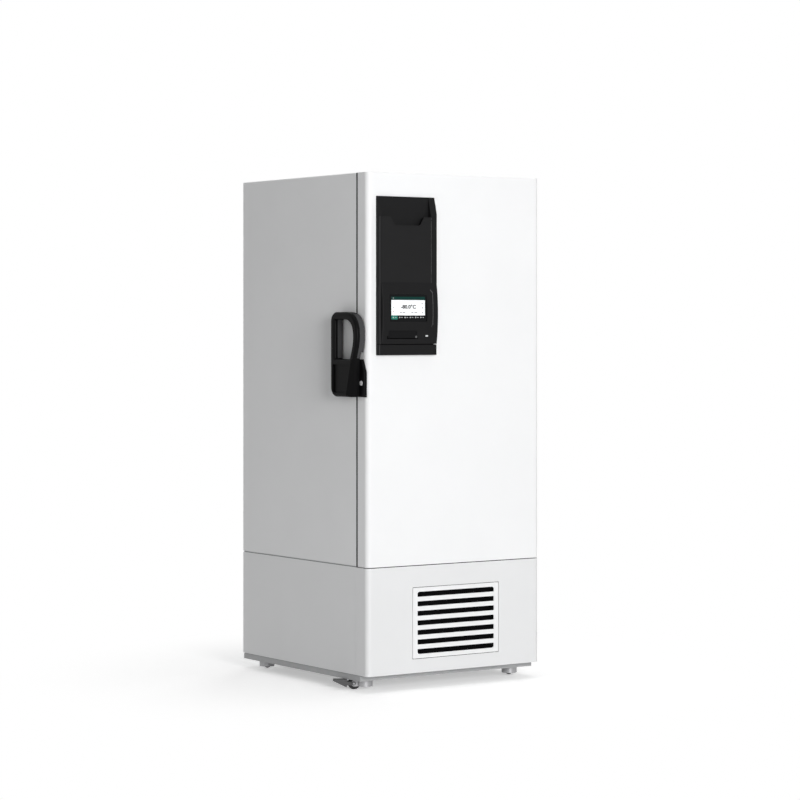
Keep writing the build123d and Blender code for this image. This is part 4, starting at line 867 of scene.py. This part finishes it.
@dataclass
class Display:
    """Picture on the touch screen: header, reading, side marks and a row of tabs.

    Attributes:
        left: Left edge of the picture.
        right: Right edge of the picture.
        top: Upper edge of the picture.
        bottom: Lower edge of the picture.
        header: Height of the header.
        footer: Height of the row of tabs.
        film: Thickness of the picture's layers.
        corner: Rounding of the fields' corners.
        reading: Middle of the reading, from the left and the top edge.
        reading_width: Width of the reading.
        figure: Height of the reading's type.
        weight: How far the type's outline is moved out to make it bold.
        tab: Width of the first tab.
        tabs: Number of tabs after the first.
        pitch: Distance between the tabs' marks.
        icon: Side of a tab's icon.
        label: Width and height of a tab's label.
        first_tab: Places of icon and label of the first tab.
        next_tab: Places of icon and label of the second tab.
        header_mark: Place of the header's mark, from the left and the top edge.
        header_side: Side of the header's mark.
        line: Height of a line of small type.
        limit_row: Distance of the limits' row from the top edge.
        limit_lines: Place and width of each line in that row.
        side_icons: Places of the icons on the right.
        side_icon: Side of such an icon.
        dot: Side of the dots on the left.
        dots: Places of the green and the red dot.
    """

    left: float = -315.5 * MM
    right: float = -162.5 * MM
    top: float = 1480.0 * MM
    bottom: float = 1395.0 * MM
    header: float = 12.5 * MM
    footer: float = 15.0 * MM
    film: float = 0.25 * MM
    corner: float = 0.6 * MM
    reading: Pair = (77.5 * MM, 38.5 * MM)
    reading_width: float = 68.0 * MM
    figure: float = 19.0 * MM
    weight: float = 0.6 * MM
    tab: float = 28.0 * MM
    tabs: int = 5
    pitch: float = 24.2 * MM
    icon: float = 4.5 * MM
    label: Pair = (5.5 * MM, 2.4 * MM)
    first_tab: Pair = (9.0 * MM, 19.5 * MM)
    next_tab: Pair = (37.5 * MM, 48.0 * MM)
    header_mark: Pair = (8.5 * MM, 5.2 * MM)
    header_side: float = 3.2 * MM
    line: float = 2.4 * MM
    limit_row: float = 59.3 * MM
    limit_lines: tuple[Pair, ...] = (
        (43.0 * MM, 8.0 * MM), (57.0 * MM, 12.0 * MM), (95.5 * MM, 9.0 * MM), (111.5 * MM, 13.0 * MM)
    )
    side_icons: tuple[Pair, ...] = (
        (140.0 * MM, 25.6 * MM), (141.0 * MM, 41.2 * MM), (142.5 * MM, 59.6 * MM)
    )
    side_icon: float = 4.0 * MM
    dot: float = 3.0 * MM
    dots: tuple[Pair, Pair] = ((10.0 * MM, 41.0 * MM), (10.0 * MM, 55.5 * MM))

    def _layer(self, name: str, x: Pair, z: Pair, level: int) -> Piece:
        """Models one flat, soft-cornered field of the picture.

        Args:
            name: Name of the piece.
            x: Left and right edge.
            z: Lower and upper edge.
            level: Number of layers that lie under it.

        Returns:
            The field.
        """
        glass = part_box("touch_screen")[0].y
        back = glass - self.film * level
        field = add_block(name, Vector((x[0], back - self.film, z[0])), Vector((x[1], back, z[1])))
        start_picking(field, "EDGE")
        for edge in field.data.edges:
            ends = [field.data.vertices[index].co for index in edge.vertices]
            edge.select = abs(ends[0].y - ends[1].y) > self.film / 2
        open_mesh()
        bpy.ops.mesh.bevel(offset=self.corner, segments=3, affect="EDGES")
        close_mesh()
        return field

    def _mark(self, name: str, middle: Pair, size: Pair, level: int) -> Piece:
        """Models one small mark, placed from the picture's left and top edge.

        Args:
            name: Name of the piece.
            middle: Distances of its middle from the left and the top edge.
            size: Width and height.
            level: Number of layers that lie under it.

        Returns:
            The mark.
        """
        x = self.left + middle[0]
        z = self.top - middle[1]
        half_x = size[0] / 2
        half_z = size[1] / 2
        return self._layer(name, (x - half_x, x + half_x), (z - half_z, z + half_z), level)

    def _figures(self, name: str, text: str) -> Piece:
        """Models the upright, bold figures of the reading.

        Args:
            name: Name of the piece.
            text: Figures to set.

        Returns:
            The figures.
        """
        clear_selection()
        bpy.ops.object.text_add(location=(0.0, 0.0, 0.0))
        figures = bpy.context.active_object
        figures.data.body = text
        figures.data.size = self.figure
        figures.data.offset = self.weight
        figures.data.align_x = "CENTER"
        figures.data.align_y = "CENTER"
        figures.data.extrude = self.film / 2
        figures.data.resolution_u = 4
        bpy.ops.object.convert(target="MESH")
        figures = bpy.context.active_object
        figures.scale.x = self.reading_width / figures.dimensions.x
        figures.rotation_euler = (QUARTER_TURN, 0.0, 0.0)
        # Middle of the layer that lies on the white field
        middle_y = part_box("touch_screen")[0].y - self.film * 1.5
        figures.location = (self.left + self.reading[0], middle_y, self.top - self.reading[1])
        return name_piece(name)

    def dress(self) -> None:
        """Builds and paints all parts of the picture."""
        across = (self.left, self.right)
        head_z = (self.top - self.header, self.top)
        foot_z = (self.bottom, self.bottom + self.footer)
        tab_x = (self.left, self.left + self.tab)
        self._show(self._layer("screen_header", across, head_z, 0), SCREEN_TEAL)
        self._show(self._layer("screen_field", across, (foot_z[1], head_z[0]), 0), SCREEN_WHITE)
        self._show(self._layer("screen_footer", across, foot_z, 0), SCREEN_BLACK)
        self._show(self._layer("screen_tab", tab_x, foot_z, 1), SCREEN_TAB)
        self._show(self._figures("screen_reading", "-80.0\u00b0C"), SCREEN_INK)
        self._tab_marks()
        self._field_marks()

    @staticmethod
    def _show(piece: Piece, finish: Finish) -> None:
        """Paints one part of the picture and lets it ride on the door.

        Args:
            piece: The finished mesh object.
            finish: Finish that it gets.
        """
        settle(piece, "door", finish)

    def _tab_marks(self) -> None:
        """Builds the pale icons and labels of header and tabs."""
        drop = self.top - self.bottom - self.footer / 2
        square = (self.icon, self.icon)
        places = [self.first_tab]
        for tab in range(self.tabs):
            places.append((self.next_tab[0] + self.pitch * tab, self.next_tab[1] + self.pitch * tab))
        pale = [self._mark("header_icon", self.header_mark, (self.header_side, self.header_side), 1)]
        for icon_x, label_x in places:
            pale.append(self._mark("tab_icon", (icon_x, drop), square, 2))
            pale.append(self._mark("tab_label", (label_x, drop), self.label, 2))
        self._show(join_pieces("screen_marks", pale), SCREEN_PALE)

    def _field_marks(self) -> None:
        """Builds the small grey, green and red marks of the white field."""
        square = (self.side_icon, self.side_icon)
        dot = (self.dot, self.dot)
        grey = []
        for x, width in self.limit_lines:
            grey.append(self._mark("limit_line", (x, self.limit_row), (width, self.line), 1))
        for place in self.side_icons:
            grey.append(self._mark("side_icon", place, square, 1))
        self._show(join_pieces("screen_grey_marks", grey), SCREEN_GREY)
        self._show(self._mark("screen_green_mark", self.dots[0], dot, 1), SCREEN_TAB)
        self._show(self._mark("screen_red_mark", self.dots[1], dot, 1), SCREEN_RED)


@dataclass
class ControlPanel:
    """Trim of the control panel on the door, with its painted highlights and painted shade.

    Attributes:
        bead: Radius of the bead beside the display.
        bead_x: Place of the bead across the door.
        bead_top: Upper end of the bead.
        bead_bottom: Lower end of the bead.
        hook: How far the bead's upper end turns towards the screen.
        lower_hook: Share of that by which its lower end turns.
        steps: Number of steps along the bead.
        sides: Number of sides of the bead.
        tilt: Turn of the bead's first section.
        flatness: Share of the bead's width that its height has.
        sink: Depth of the bead's middle under the panel's front.
        groove: Width of the painted shade round the flap.
        notch: Radius of the painted highlight of the flap's finger notch.
        rib: Width of the rib along the pocket.
        rib_rounding: Share of the rib's width that its edges are rounded.
        strip: Width of the painted highlight down the left edge.
        film: Height of thin trim over the surface.
        notch_sides: Number of sides of the notch.
        gap_shade_set: Distance of the painted shade strip behind the trim bar's front.
        gap_shade_short: Distance of that strip's right end from the bar's end.
    """

    bead: float = 1.8 * MM
    bead_x: float = -127.5 * MM
    bead_top: float = 1506.0 * MM
    bead_bottom: float = 1366.0 * MM
    hook: float = 10.0 * MM
    lower_hook: float = 0.6
    steps: int = 12
    sides: int = 12
    tilt: float = math.radians(135.0)
    flatness: float = 0.12
    sink: float = 0.17 * MM
    groove: float = 3.0 * MM
    notch: float = 4.5 * MM
    rib: float = 3.0 * MM
    rib_rounding: float = 0.4
    strip: float = 2.0 * MM
    film: float = 0.2 * MM
    notch_sides: int = 24
    gap_shade_set: float = 2.0 * MM
    gap_shade_short: float = 14.0 * MM

    def _face(self, z: float) -> float:
        """Gives the Y of the display's bowed front at a height.

        Args:
            z: Height above the floor.

        Returns:
            Y of the surface.
        """
        low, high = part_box("display_bezel")
        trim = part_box("panel_housing")[0].y
        half = (high.z - low.z) / 2
        rise = trim - low.y
        radius = (half * half + rise * rise) / (2 * rise)
        offset = z - (low.z + high.z) / 2
        return low.y + radius - math.sqrt(radius * radius - offset * offset)

    def _bead(self) -> Piece:
        """Models the bead as a flat oval bar swept along the bowed front and sunk almost into it; its
        lighter grey paints the highlight along the display's raised edge.

        Returns:
            The bead.
        """
        clear_selection()
        path = [(self.bead_x - self.hook, self.bead_top)]
        for step in range(self.steps + 1):
            share = step / self.steps
            z = self.bead_top - self.hook + share * (self.bead_bottom - self.bead_top + 2 * self.hook)
            path.append((self.bead_x, z))
        path.append((self.bead_x - self.hook * self.lower_hook, self.bead_bottom))
        start = Vector((path[0][0], self._face(path[0][1]) + self.sink, path[0][1]))
        bpy.ops.mesh.primitive_circle_add(
            vertices=self.sides, radius=self.bead, fill_type="NGON", location=start,
            rotation=(0.0, self.tilt, 0.0),
        )
        bpy.context.active_object.scale.y = self.flatness
        bead = name_piece("display_bead_highlight")
        open_mesh()
        bpy.ops.mesh.select_all(action="SELECT")
        here = start
        for x, z in path[1:]:
            there = Vector((x, self._face(z) + self.sink, z))
            bpy.ops.mesh.extrude_region_move(TRANSFORM_OT_translate={"value": there - here})
            here = there
        bpy.ops.mesh.select_all(action="SELECT")
        bpy.ops.mesh.normals_make_consistent(inside=False)
        close_mesh()
        return bead

    def _flap_shade_frame(self) -> Piece:
        """Models a flat black frame round the flap that paints the shade in its groove.

        Returns:
            The groove.
        """
        low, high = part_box("port_flap")
        edge = Vector((self.groove, 0.0, self.groove))
        face = Vector((0.0, self.film, 0.0))
        frame_low = low - edge - face
        frame_high = Vector((high.x, low.y, high.z)) + edge
        groove = add_block("flap_shade_frame", frame_low, frame_high)
        open_frame(groove, self.groove)
        return groove

    def _flap_notch(self) -> Piece:
        """Models a thin, lighter disc at the flap's lower right corner: the painted highlight of its finger
        notch.

        Returns:
            The notch.
        """
        low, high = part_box("port_flap")
        spot = Vector((high.x - self.notch, low.y, low.z + self.notch))
        clear_selection()
        bpy.ops.mesh.primitive_cylinder_add(
            vertices=self.notch_sides, radius=self.notch, depth=2 * self.film, location=spot,
            rotation=(QUARTER_TURN, 0.0, 0.0),
        )
        return name_piece("flap_notch_highlight")

    def _pocket_rib(self) -> Piece:
        """Models the upright rib along the pocket's right edge; its light grey paints the highlight on that
        edge.

        Returns:
            The rib.
        """
        low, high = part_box("pocket_cover")
        rib = add_block(
            "pocket_rib_highlight",
            Vector((high.x, low.y, low.z)),
            Vector((high.x + self.rib, low.y + self.rib, high.z)),
        )
        round_edges(rib, self.rib * self.rib_rounding)
        return rib

    def _edge_strips(self) -> Piece:
        """Models the lighter line down the left edge of housing and trim bar, a painted highlight on that
        edge.

        Returns:
            The strips.
        """
        strips = []
        for node in ("panel_housing", "panel_trim"):
            low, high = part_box(node)
            top = min(high.z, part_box("pocket_cover")[1].z)
            strip = add_block(
                "edge_highlight",
                Vector((low.x, low.y - self.film, low.z)),
                Vector((low.x + self.strip, low.y, top)),
            )
            strips.append(strip)
        return join_pieces("panel_edge_highlights", strips)

    def _gap_shade_strip(self) -> Piece:
        """Models the black strip behind the gap over the trim bar, painted shade in the gap.

        Returns:
            The strip.
        """
        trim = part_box("panel_trim")
        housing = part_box("panel_housing")
        return add_block(
            "gap_shade_strip",
            Vector((trim[0].x, trim[0].y + self.gap_shade_set, trim[1].z)),
            Vector((trim[1].x - self.gap_shade_short, trim[1].y, housing[0].z)),
        )

    def dress(self) -> None:
        """Builds and paints the panel's trim, with its painted highlights and painted shade."""
        # Painted highlight along the display's raised edge.
        settle(self._bead(), "door", HIGHLIGHT_GREY)
        # Painted shade round the flap.
        settle(self._flap_shade_frame(), "door", PAINTED_SHADE_BLACK)
        # Painted highlight of the flap's finger notch.
        settle(self._flap_notch(), "port_flap", HIGHLIGHT_GREY)
        # Painted highlight on the pocket's right edge.
        settle(self._pocket_rib(), "door", RIB_HIGHLIGHT)
        # Painted highlight down the panel's left edge.
        settle(self._edge_strips(), "door", EDGE_HIGHLIGHT)
        # Painted shade in the gap over the trim bar.
        settle(self._gap_shade_strip(), "door", PAINTED_SHADE_BLACK)


@dataclass
class WallSkins:
    """Thin skins on walls of the solids: painted sheen on the grip and painted shade under the door.

    Attributes:
        skin: Thickness of a skin.
        bare: Share of the grip's width, from its outer side, that gets no painted sheen.
        foot: Height under which the handle gets no painted sheen.
        slant: Least part of a normal towards the front for a wall to get the painted sheen.
        seam_shade: Width of the black strip that paints the shade in the seam under the door.
    """

    skin: float = 0.4 * MM
    bare: float = 0.4
    foot: float = 1250.0 * MM
    slant: float = 0.35
    seam_shade: float = 30.0 * MM

    def _skin(self, name: str, node: str, wanted: FaceTest, end: Vector, side: Vector) -> Piece:
        """Models a skin on chosen walls of one solid.

        Args:
            name: Name of the piece.
            node: Node whose walls it covers.
            wanted: Test of a wall's centre and normal.
            end: Point of the plane at which the skin ends.
            side: Direction from that plane to the skin.

        Returns:
            The skin.
        """
        piece = frame["nodes"][node].copy()
        piece.data = piece.data.copy()
        piece.data.materials.clear()
        bpy.context.scene.collection.objects.link(piece)
        make_active(piece)
        name_piece(name)
        open_mesh()
        bpy.ops.mesh.select_all(action="SELECT")
        bpy.ops.mesh.bisect(plane_co=end, plane_no=side, clear_inner=True)
        close_mesh()
        pick_faces(piece, lambda centre, normal: not wanted(centre, normal))
        bpy.ops.mesh.delete(type="FACE")
        close_mesh()
        make_active(piece)
        wall = piece.modifiers.new("wall", "SOLIDIFY")
        wall.thickness = self.skin
        wall.offset = 1.0
        bpy.ops.object.modifier_apply(modifier=wall.name)
        return piece

    def dress(self) -> None:
        """Builds and paints the grip's painted sheen and the black strip of painted shade under the door.
        """
        low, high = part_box("handle_lever")
        # Painted sheen: a lighter grey skin on the grip's front-facing walls.
        sheen_skin = self._skin(
            "grip_sheen_skin",
            "handle_lever",
            lambda centre, normal: normal.y < -self.slant and centre.z > self.foot,
            low.lerp(high, self.bare),
            Vector((1.0, 0.0, 0.0)),
        )
        settle(sheen_skin, "handle_lever", GRIP_SHEEN)
        # Painted shade: a black strip on top of the lower front panel darkens the seam under the door.
        panel_low, panel_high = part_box("lower_front_panel")
        seam_shade = self._skin(
            "seam_shade_strip",
            "lower_front_panel",
            lambda centre, normal: normal.z > FACING and centre.z > panel_high.z - self.skin,
            panel_low + Vector((0.0, self.seam_shade, 0.0)),
            Vector((0.0, -1.0, 0.0)),
        )
        settle(seam_shade, "cabinet", BLACK_SEAL_AND_SHADE)


@dataclass
class Fasteners:
    """Screws on the hinges and the rear panels.

    Attributes:
        hinge_heights: Heights of the hinges' middles.
        hinge_rise: Distance of a hinge's screws from its middle.
        cabinet_lines: Distances of a cabinet leaf's screw lines from its free edge.
        door_lines: Distances of a door leaf's screw lines from its free edge.
        leaf: Height of a leaf's face over the cabinet's side.
        edge: Distance of the rear screws from the panel's edge.
        upper_rows: Screws along each upright edge of the rear panel.
        lower_rows: Screws along each upright edge of the lower rear panel.
    """

    hinge_heights: tuple[float, ...] = (640.5 * MM, 1206.75 * MM, 1773.0 * MM)
    hinge_rise: float = 30.0 * MM
    cabinet_lines: Pair = (12.0 * MM, 44.0 * MM)
    door_lines: Pair = (10.0 * MM, 30.0 * MM)
    leaf: float = 4.0 * MM
    edge: float = 14.0 * MM
    upper_rows: int = 6
    lower_rows: int = 3

    def _hinge(self, node: str, inset: Pair) -> list[Vector]:
        """Places the screws of one row of hinge leaves.

        Args:
            node: Node of the leaves.
            inset: Distances of the two screw lines from the leaf's free edge.

        Returns:
            The screws' places.
        """
        low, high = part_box(node)
        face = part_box("cabinet_shell")[1].x + self.leaf
        lines = [high.y - inset[0], high.y - inset[1]]
        if node == "hinge_door_leaves":
            lines = [low.y + inset[0], low.y + inset[1]]
        return [
            Vector((face, y, z + side * self.hinge_rise))
            for z in self.hinge_heights
            for side in (-1, 1)
            for y in lines
        ]

    def _rear(self, node: str, rows: int) -> list[Vector]:
        """Places screws along a rear panel's upright edges.

        Args:
            node: Node of the panel.
            rows: Screws along each edge.

        Returns:
            The screws' places.
        """
        low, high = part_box(node)
        span = high.z - low.z - 2 * self.edge
        return [
            Vector((x, high.y, low.z + self.edge + span * row / (rows - 1)))
            for x in (low.x + self.edge, high.x - self.edge)
            for row in range(rows)
        ]

    def dress(self) -> None:
        """Builds and paints all the screws."""
        screw = Screw()
        right = Vector((1.0, 0.0, 0.0))
        rear = Vector((0.0, 1.0, 0.0))
        cabinet_spots = self._hinge("hinge_cabinet_leaves", self.cabinet_lines)
        door_spots = self._hinge("hinge_door_leaves", self.door_lines)
        rear_spots = self._rear("rear_panel", self.upper_rows)
        rear_spots += self._rear("lower_rear_panel", self.lower_rows)
        for name, spots, outward, body, slot in (
            ("hinge_screws_cabinet", cabinet_spots, right, "cabinet", "hinge_metal"),
            ("hinge_screws_door", door_spots, right, "door", "hinge_metal"),
            ("rear_screws", rear_spots, rear, "cabinet", "galvanised"),
        ):
            settle(screw.place(name, spots, outward), body, SCREW_STEEL)


@dataclass
class Studio:
    """Floor, light and camera.

    Attributes:
        lens: Focal length, in millimetres.
        sensor: Sensor width, in millimetres.
        place: Place of the camera.
        yaw: Turn of the camera to the right, in degrees.
        shift: Upward shift of the picture's frame.
        sky: Strength of the world's light from the far left and the far right.
        key: Power of the main lamp, in watts.
        lamp_size: Side of each lamp.
        lamp_aim: Point that the lamps face.
        lamp_plan: Name, share of the main lamp's power and place of each lamp.
        view_end: Farthest distance that the camera sees.
        floor_size: Side of the floor.
        floor_tone: Grey of the near floor.
        floor_lift: Light that the near floor adds for seen rays.
        shadow_reach: Distances from the middle between which the floor turns white.
    """

    lens: float = 116.37
    sensor: float = 36.0
    place: Triple = (-5.75595, -8.45058, 1.37031)
    yaw: float = 34.5
    shift: float = -0.0925
    sky: Pair = (0.3, 0.08)
    key: float = 586.0
    lamp_size: float = 3.0
    lamp_aim: Triple = (0.0, 0.0, 0.9)
    lamp_plan: tuple[tuple[str, float, Triple], ...] = (
        ("main_lamp", 1.0, (-2.4, -9.3, 2.4)),
        ("top_lamp", 0.14, (0.5, -0.5, 6.0)),
        ("back_lamp", 0.25, (5.0, 5.0, 3.0)),
    )
    view_end: float = 100.0
    floor_size: float = 60.0
    floor_tone: float = 0.9
    floor_lift: float = 0.42
    shadow_reach: Pair = (0.55, 1.5)

    def camera(self) -> None:
        """Sets the camera at the photograph's place."""
        data = bpy.data.cameras.new("camera")
        data.lens = self.lens
        data.sensor_width = self.sensor
        data.shift_y = self.shift
        data.clip_end = self.view_end
        camera = bpy.data.objects.new("camera", data)
        camera.location = self.place
        camera.rotation_euler = (QUARTER_TURN, 0.0, -math.radians(self.yaw))
        bpy.context.scene.collection.objects.link(camera)
        bpy.context.scene.camera = camera

    @staticmethod
    def _seen(tree: Tree) -> Socket:
        """Adds a factor that is 1 for rays from the camera, mirrors and glass.

        Args:
            tree: Node tree to add to.

        Returns:
            The factor socket.
        """
        rays = tree.nodes.new("ShaderNodeLightPath").outputs
        seen = rays["Is Camera Ray"]
        for other in ("Is Glossy Ray", "Is Transmission Ray"):
            either = add_node(tree, "ShaderNodeMath", {0: seen, 1: rays[other]})
            either.operation = "MAXIMUM"
            seen = either.outputs["Value"]
        return seen

    def world(self) -> None:
        """Makes a white surrounding that lights the object softly, and less from the right."""
        world = bpy.data.worlds.new("studio_world")
        world.use_nodes = True
        bpy.context.scene.world = world
        tree = world.node_tree
        direction = tree.nodes.new("ShaderNodeTexCoord").outputs["Generated"]
        parts = add_node(tree, "ShaderNodeSeparateXYZ", {"Vector": direction})
        left, right = self.sky
        span = {"From Min": -1.0, "To Min": left, "To Max": right, "Value": parts.outputs["X"]}
        slope = add_node(tree, "ShaderNodeMapRange", span)
        share = {"To Min": slope.outputs["Result"], "To Max": 1.0, "Value": self._seen(tree)}
        strength = add_node(tree, "ShaderNodeMapRange", share)
        light = {"Color": WHITE, "Strength": strength.outputs["Result"]}
        fill_inputs(tree, tree.nodes["Background"], light)

    def floor(self) -> None:
        """Adds a pale floor that keeps the near shadow and turns white further out."""
        clear_selection()
        bpy.ops.mesh.primitive_plane_add(size=self.floor_size, location=(0.0, 0.0, 0.0))
        floor = name_piece("studio_floor")
        material = bpy.data.materials.new("studio_floor")
        material.use_nodes = True
        tree = material.node_tree
        seen = self._seen(tree)
        lift = add_node(tree, "ShaderNodeMapRange", {"To Max": self.floor_lift, "Value": seen})
        near = tree.nodes["Principled BSDF"]
        looks = {
            "Base Color": (self.floor_tone, self.floor_tone, self.floor_tone, 1.0),
            "Roughness": 0.9,
            "Specular IOR Level": 0.0,
            "Emission Color": WHITE,
            "Emission Strength": lift.outputs["Result"],
        }
        fill_inputs(tree, near, looks)
        far = add_node(tree, "ShaderNodeEmission", {"Color": WHITE, "Strength": 1.0})
        spot = tree.nodes.new("ShaderNodeTexCoord").outputs["Object"]
        reach = add_node(tree, "ShaderNodeVectorMath", {0: spot})
        reach.operation = "LENGTH"
        start, end = self.shadow_reach
        span = {"From Min": start, "From Max": end, "Value": reach.outputs["Value"]}
        fade = add_node(tree, "ShaderNodeMapRange", span)
        fade.interpolation_type = "SMOOTHSTEP"
        share = add_node(tree, "ShaderNodeMath", {0: fade.outputs["Result"], 1: seen})
        share.operation = "MULTIPLY"
        mix = {"Fac": share.outputs["Value"], 1: near.outputs["BSDF"], 2: far.outputs["Emission"]}
        blend = add_node(tree, "ShaderNodeMixShader", mix)
        fill_inputs(tree, tree.nodes["Material Output"], {"Surface": blend.outputs["Shader"]})
        floor.data.materials.append(material)

    def lamps(self) -> None:
        """Adds a broad main lamp in front and weak ones above and behind on the right."""
        for name, share, place in self.lamp_plan:
            data = bpy.data.lights.new(name, "AREA")
            data.energy = self.key * share
            data.size = self.lamp_size
            lamp = bpy.data.objects.new(name, data)
            lamp.location = place
            aim = Vector(self.lamp_aim) - Vector(place)
            lamp.rotation_euler = aim.to_track_quat("-Z", "Y").to_euler()
            bpy.context.scene.collection.objects.link(lamp)

    def build(self) -> None:
        """Sets up the whole studio."""
        bpy.context.scene.view_settings.view_transform = "Standard"
        self.camera()
        self.world()
        self.floor()
        self.lamps()


def dress_solids() -> None:
    """Gives every solid of the frame its own finish or that of its slot."""
    slots = {part["node"]: part["material_slot"] for part in frame["record"]["subparts"]}
    for node, solid in frame["nodes"].items():
        PALETTE.paint(solid, NODE_FINISHES.get(node, SLOT_FINISHES[slots[node]]))
    LOG.info("%d solids dressed", len(frame["nodes"]))


def main() -> None:
    """Dresses the freezer and sets up its studio."""
    logging.basicConfig(level=logging.INFO)
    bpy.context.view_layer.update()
    Studio().build()
    dress_solids()
    DoorSeal().dress()
    DoorGapShade().dress()
    AirFilter().dress()
    Display().dress()
    ControlPanel().dress()
    WallSkins().dress()
    Fasteners().dress()


if __name__ == "__main__":
    main()
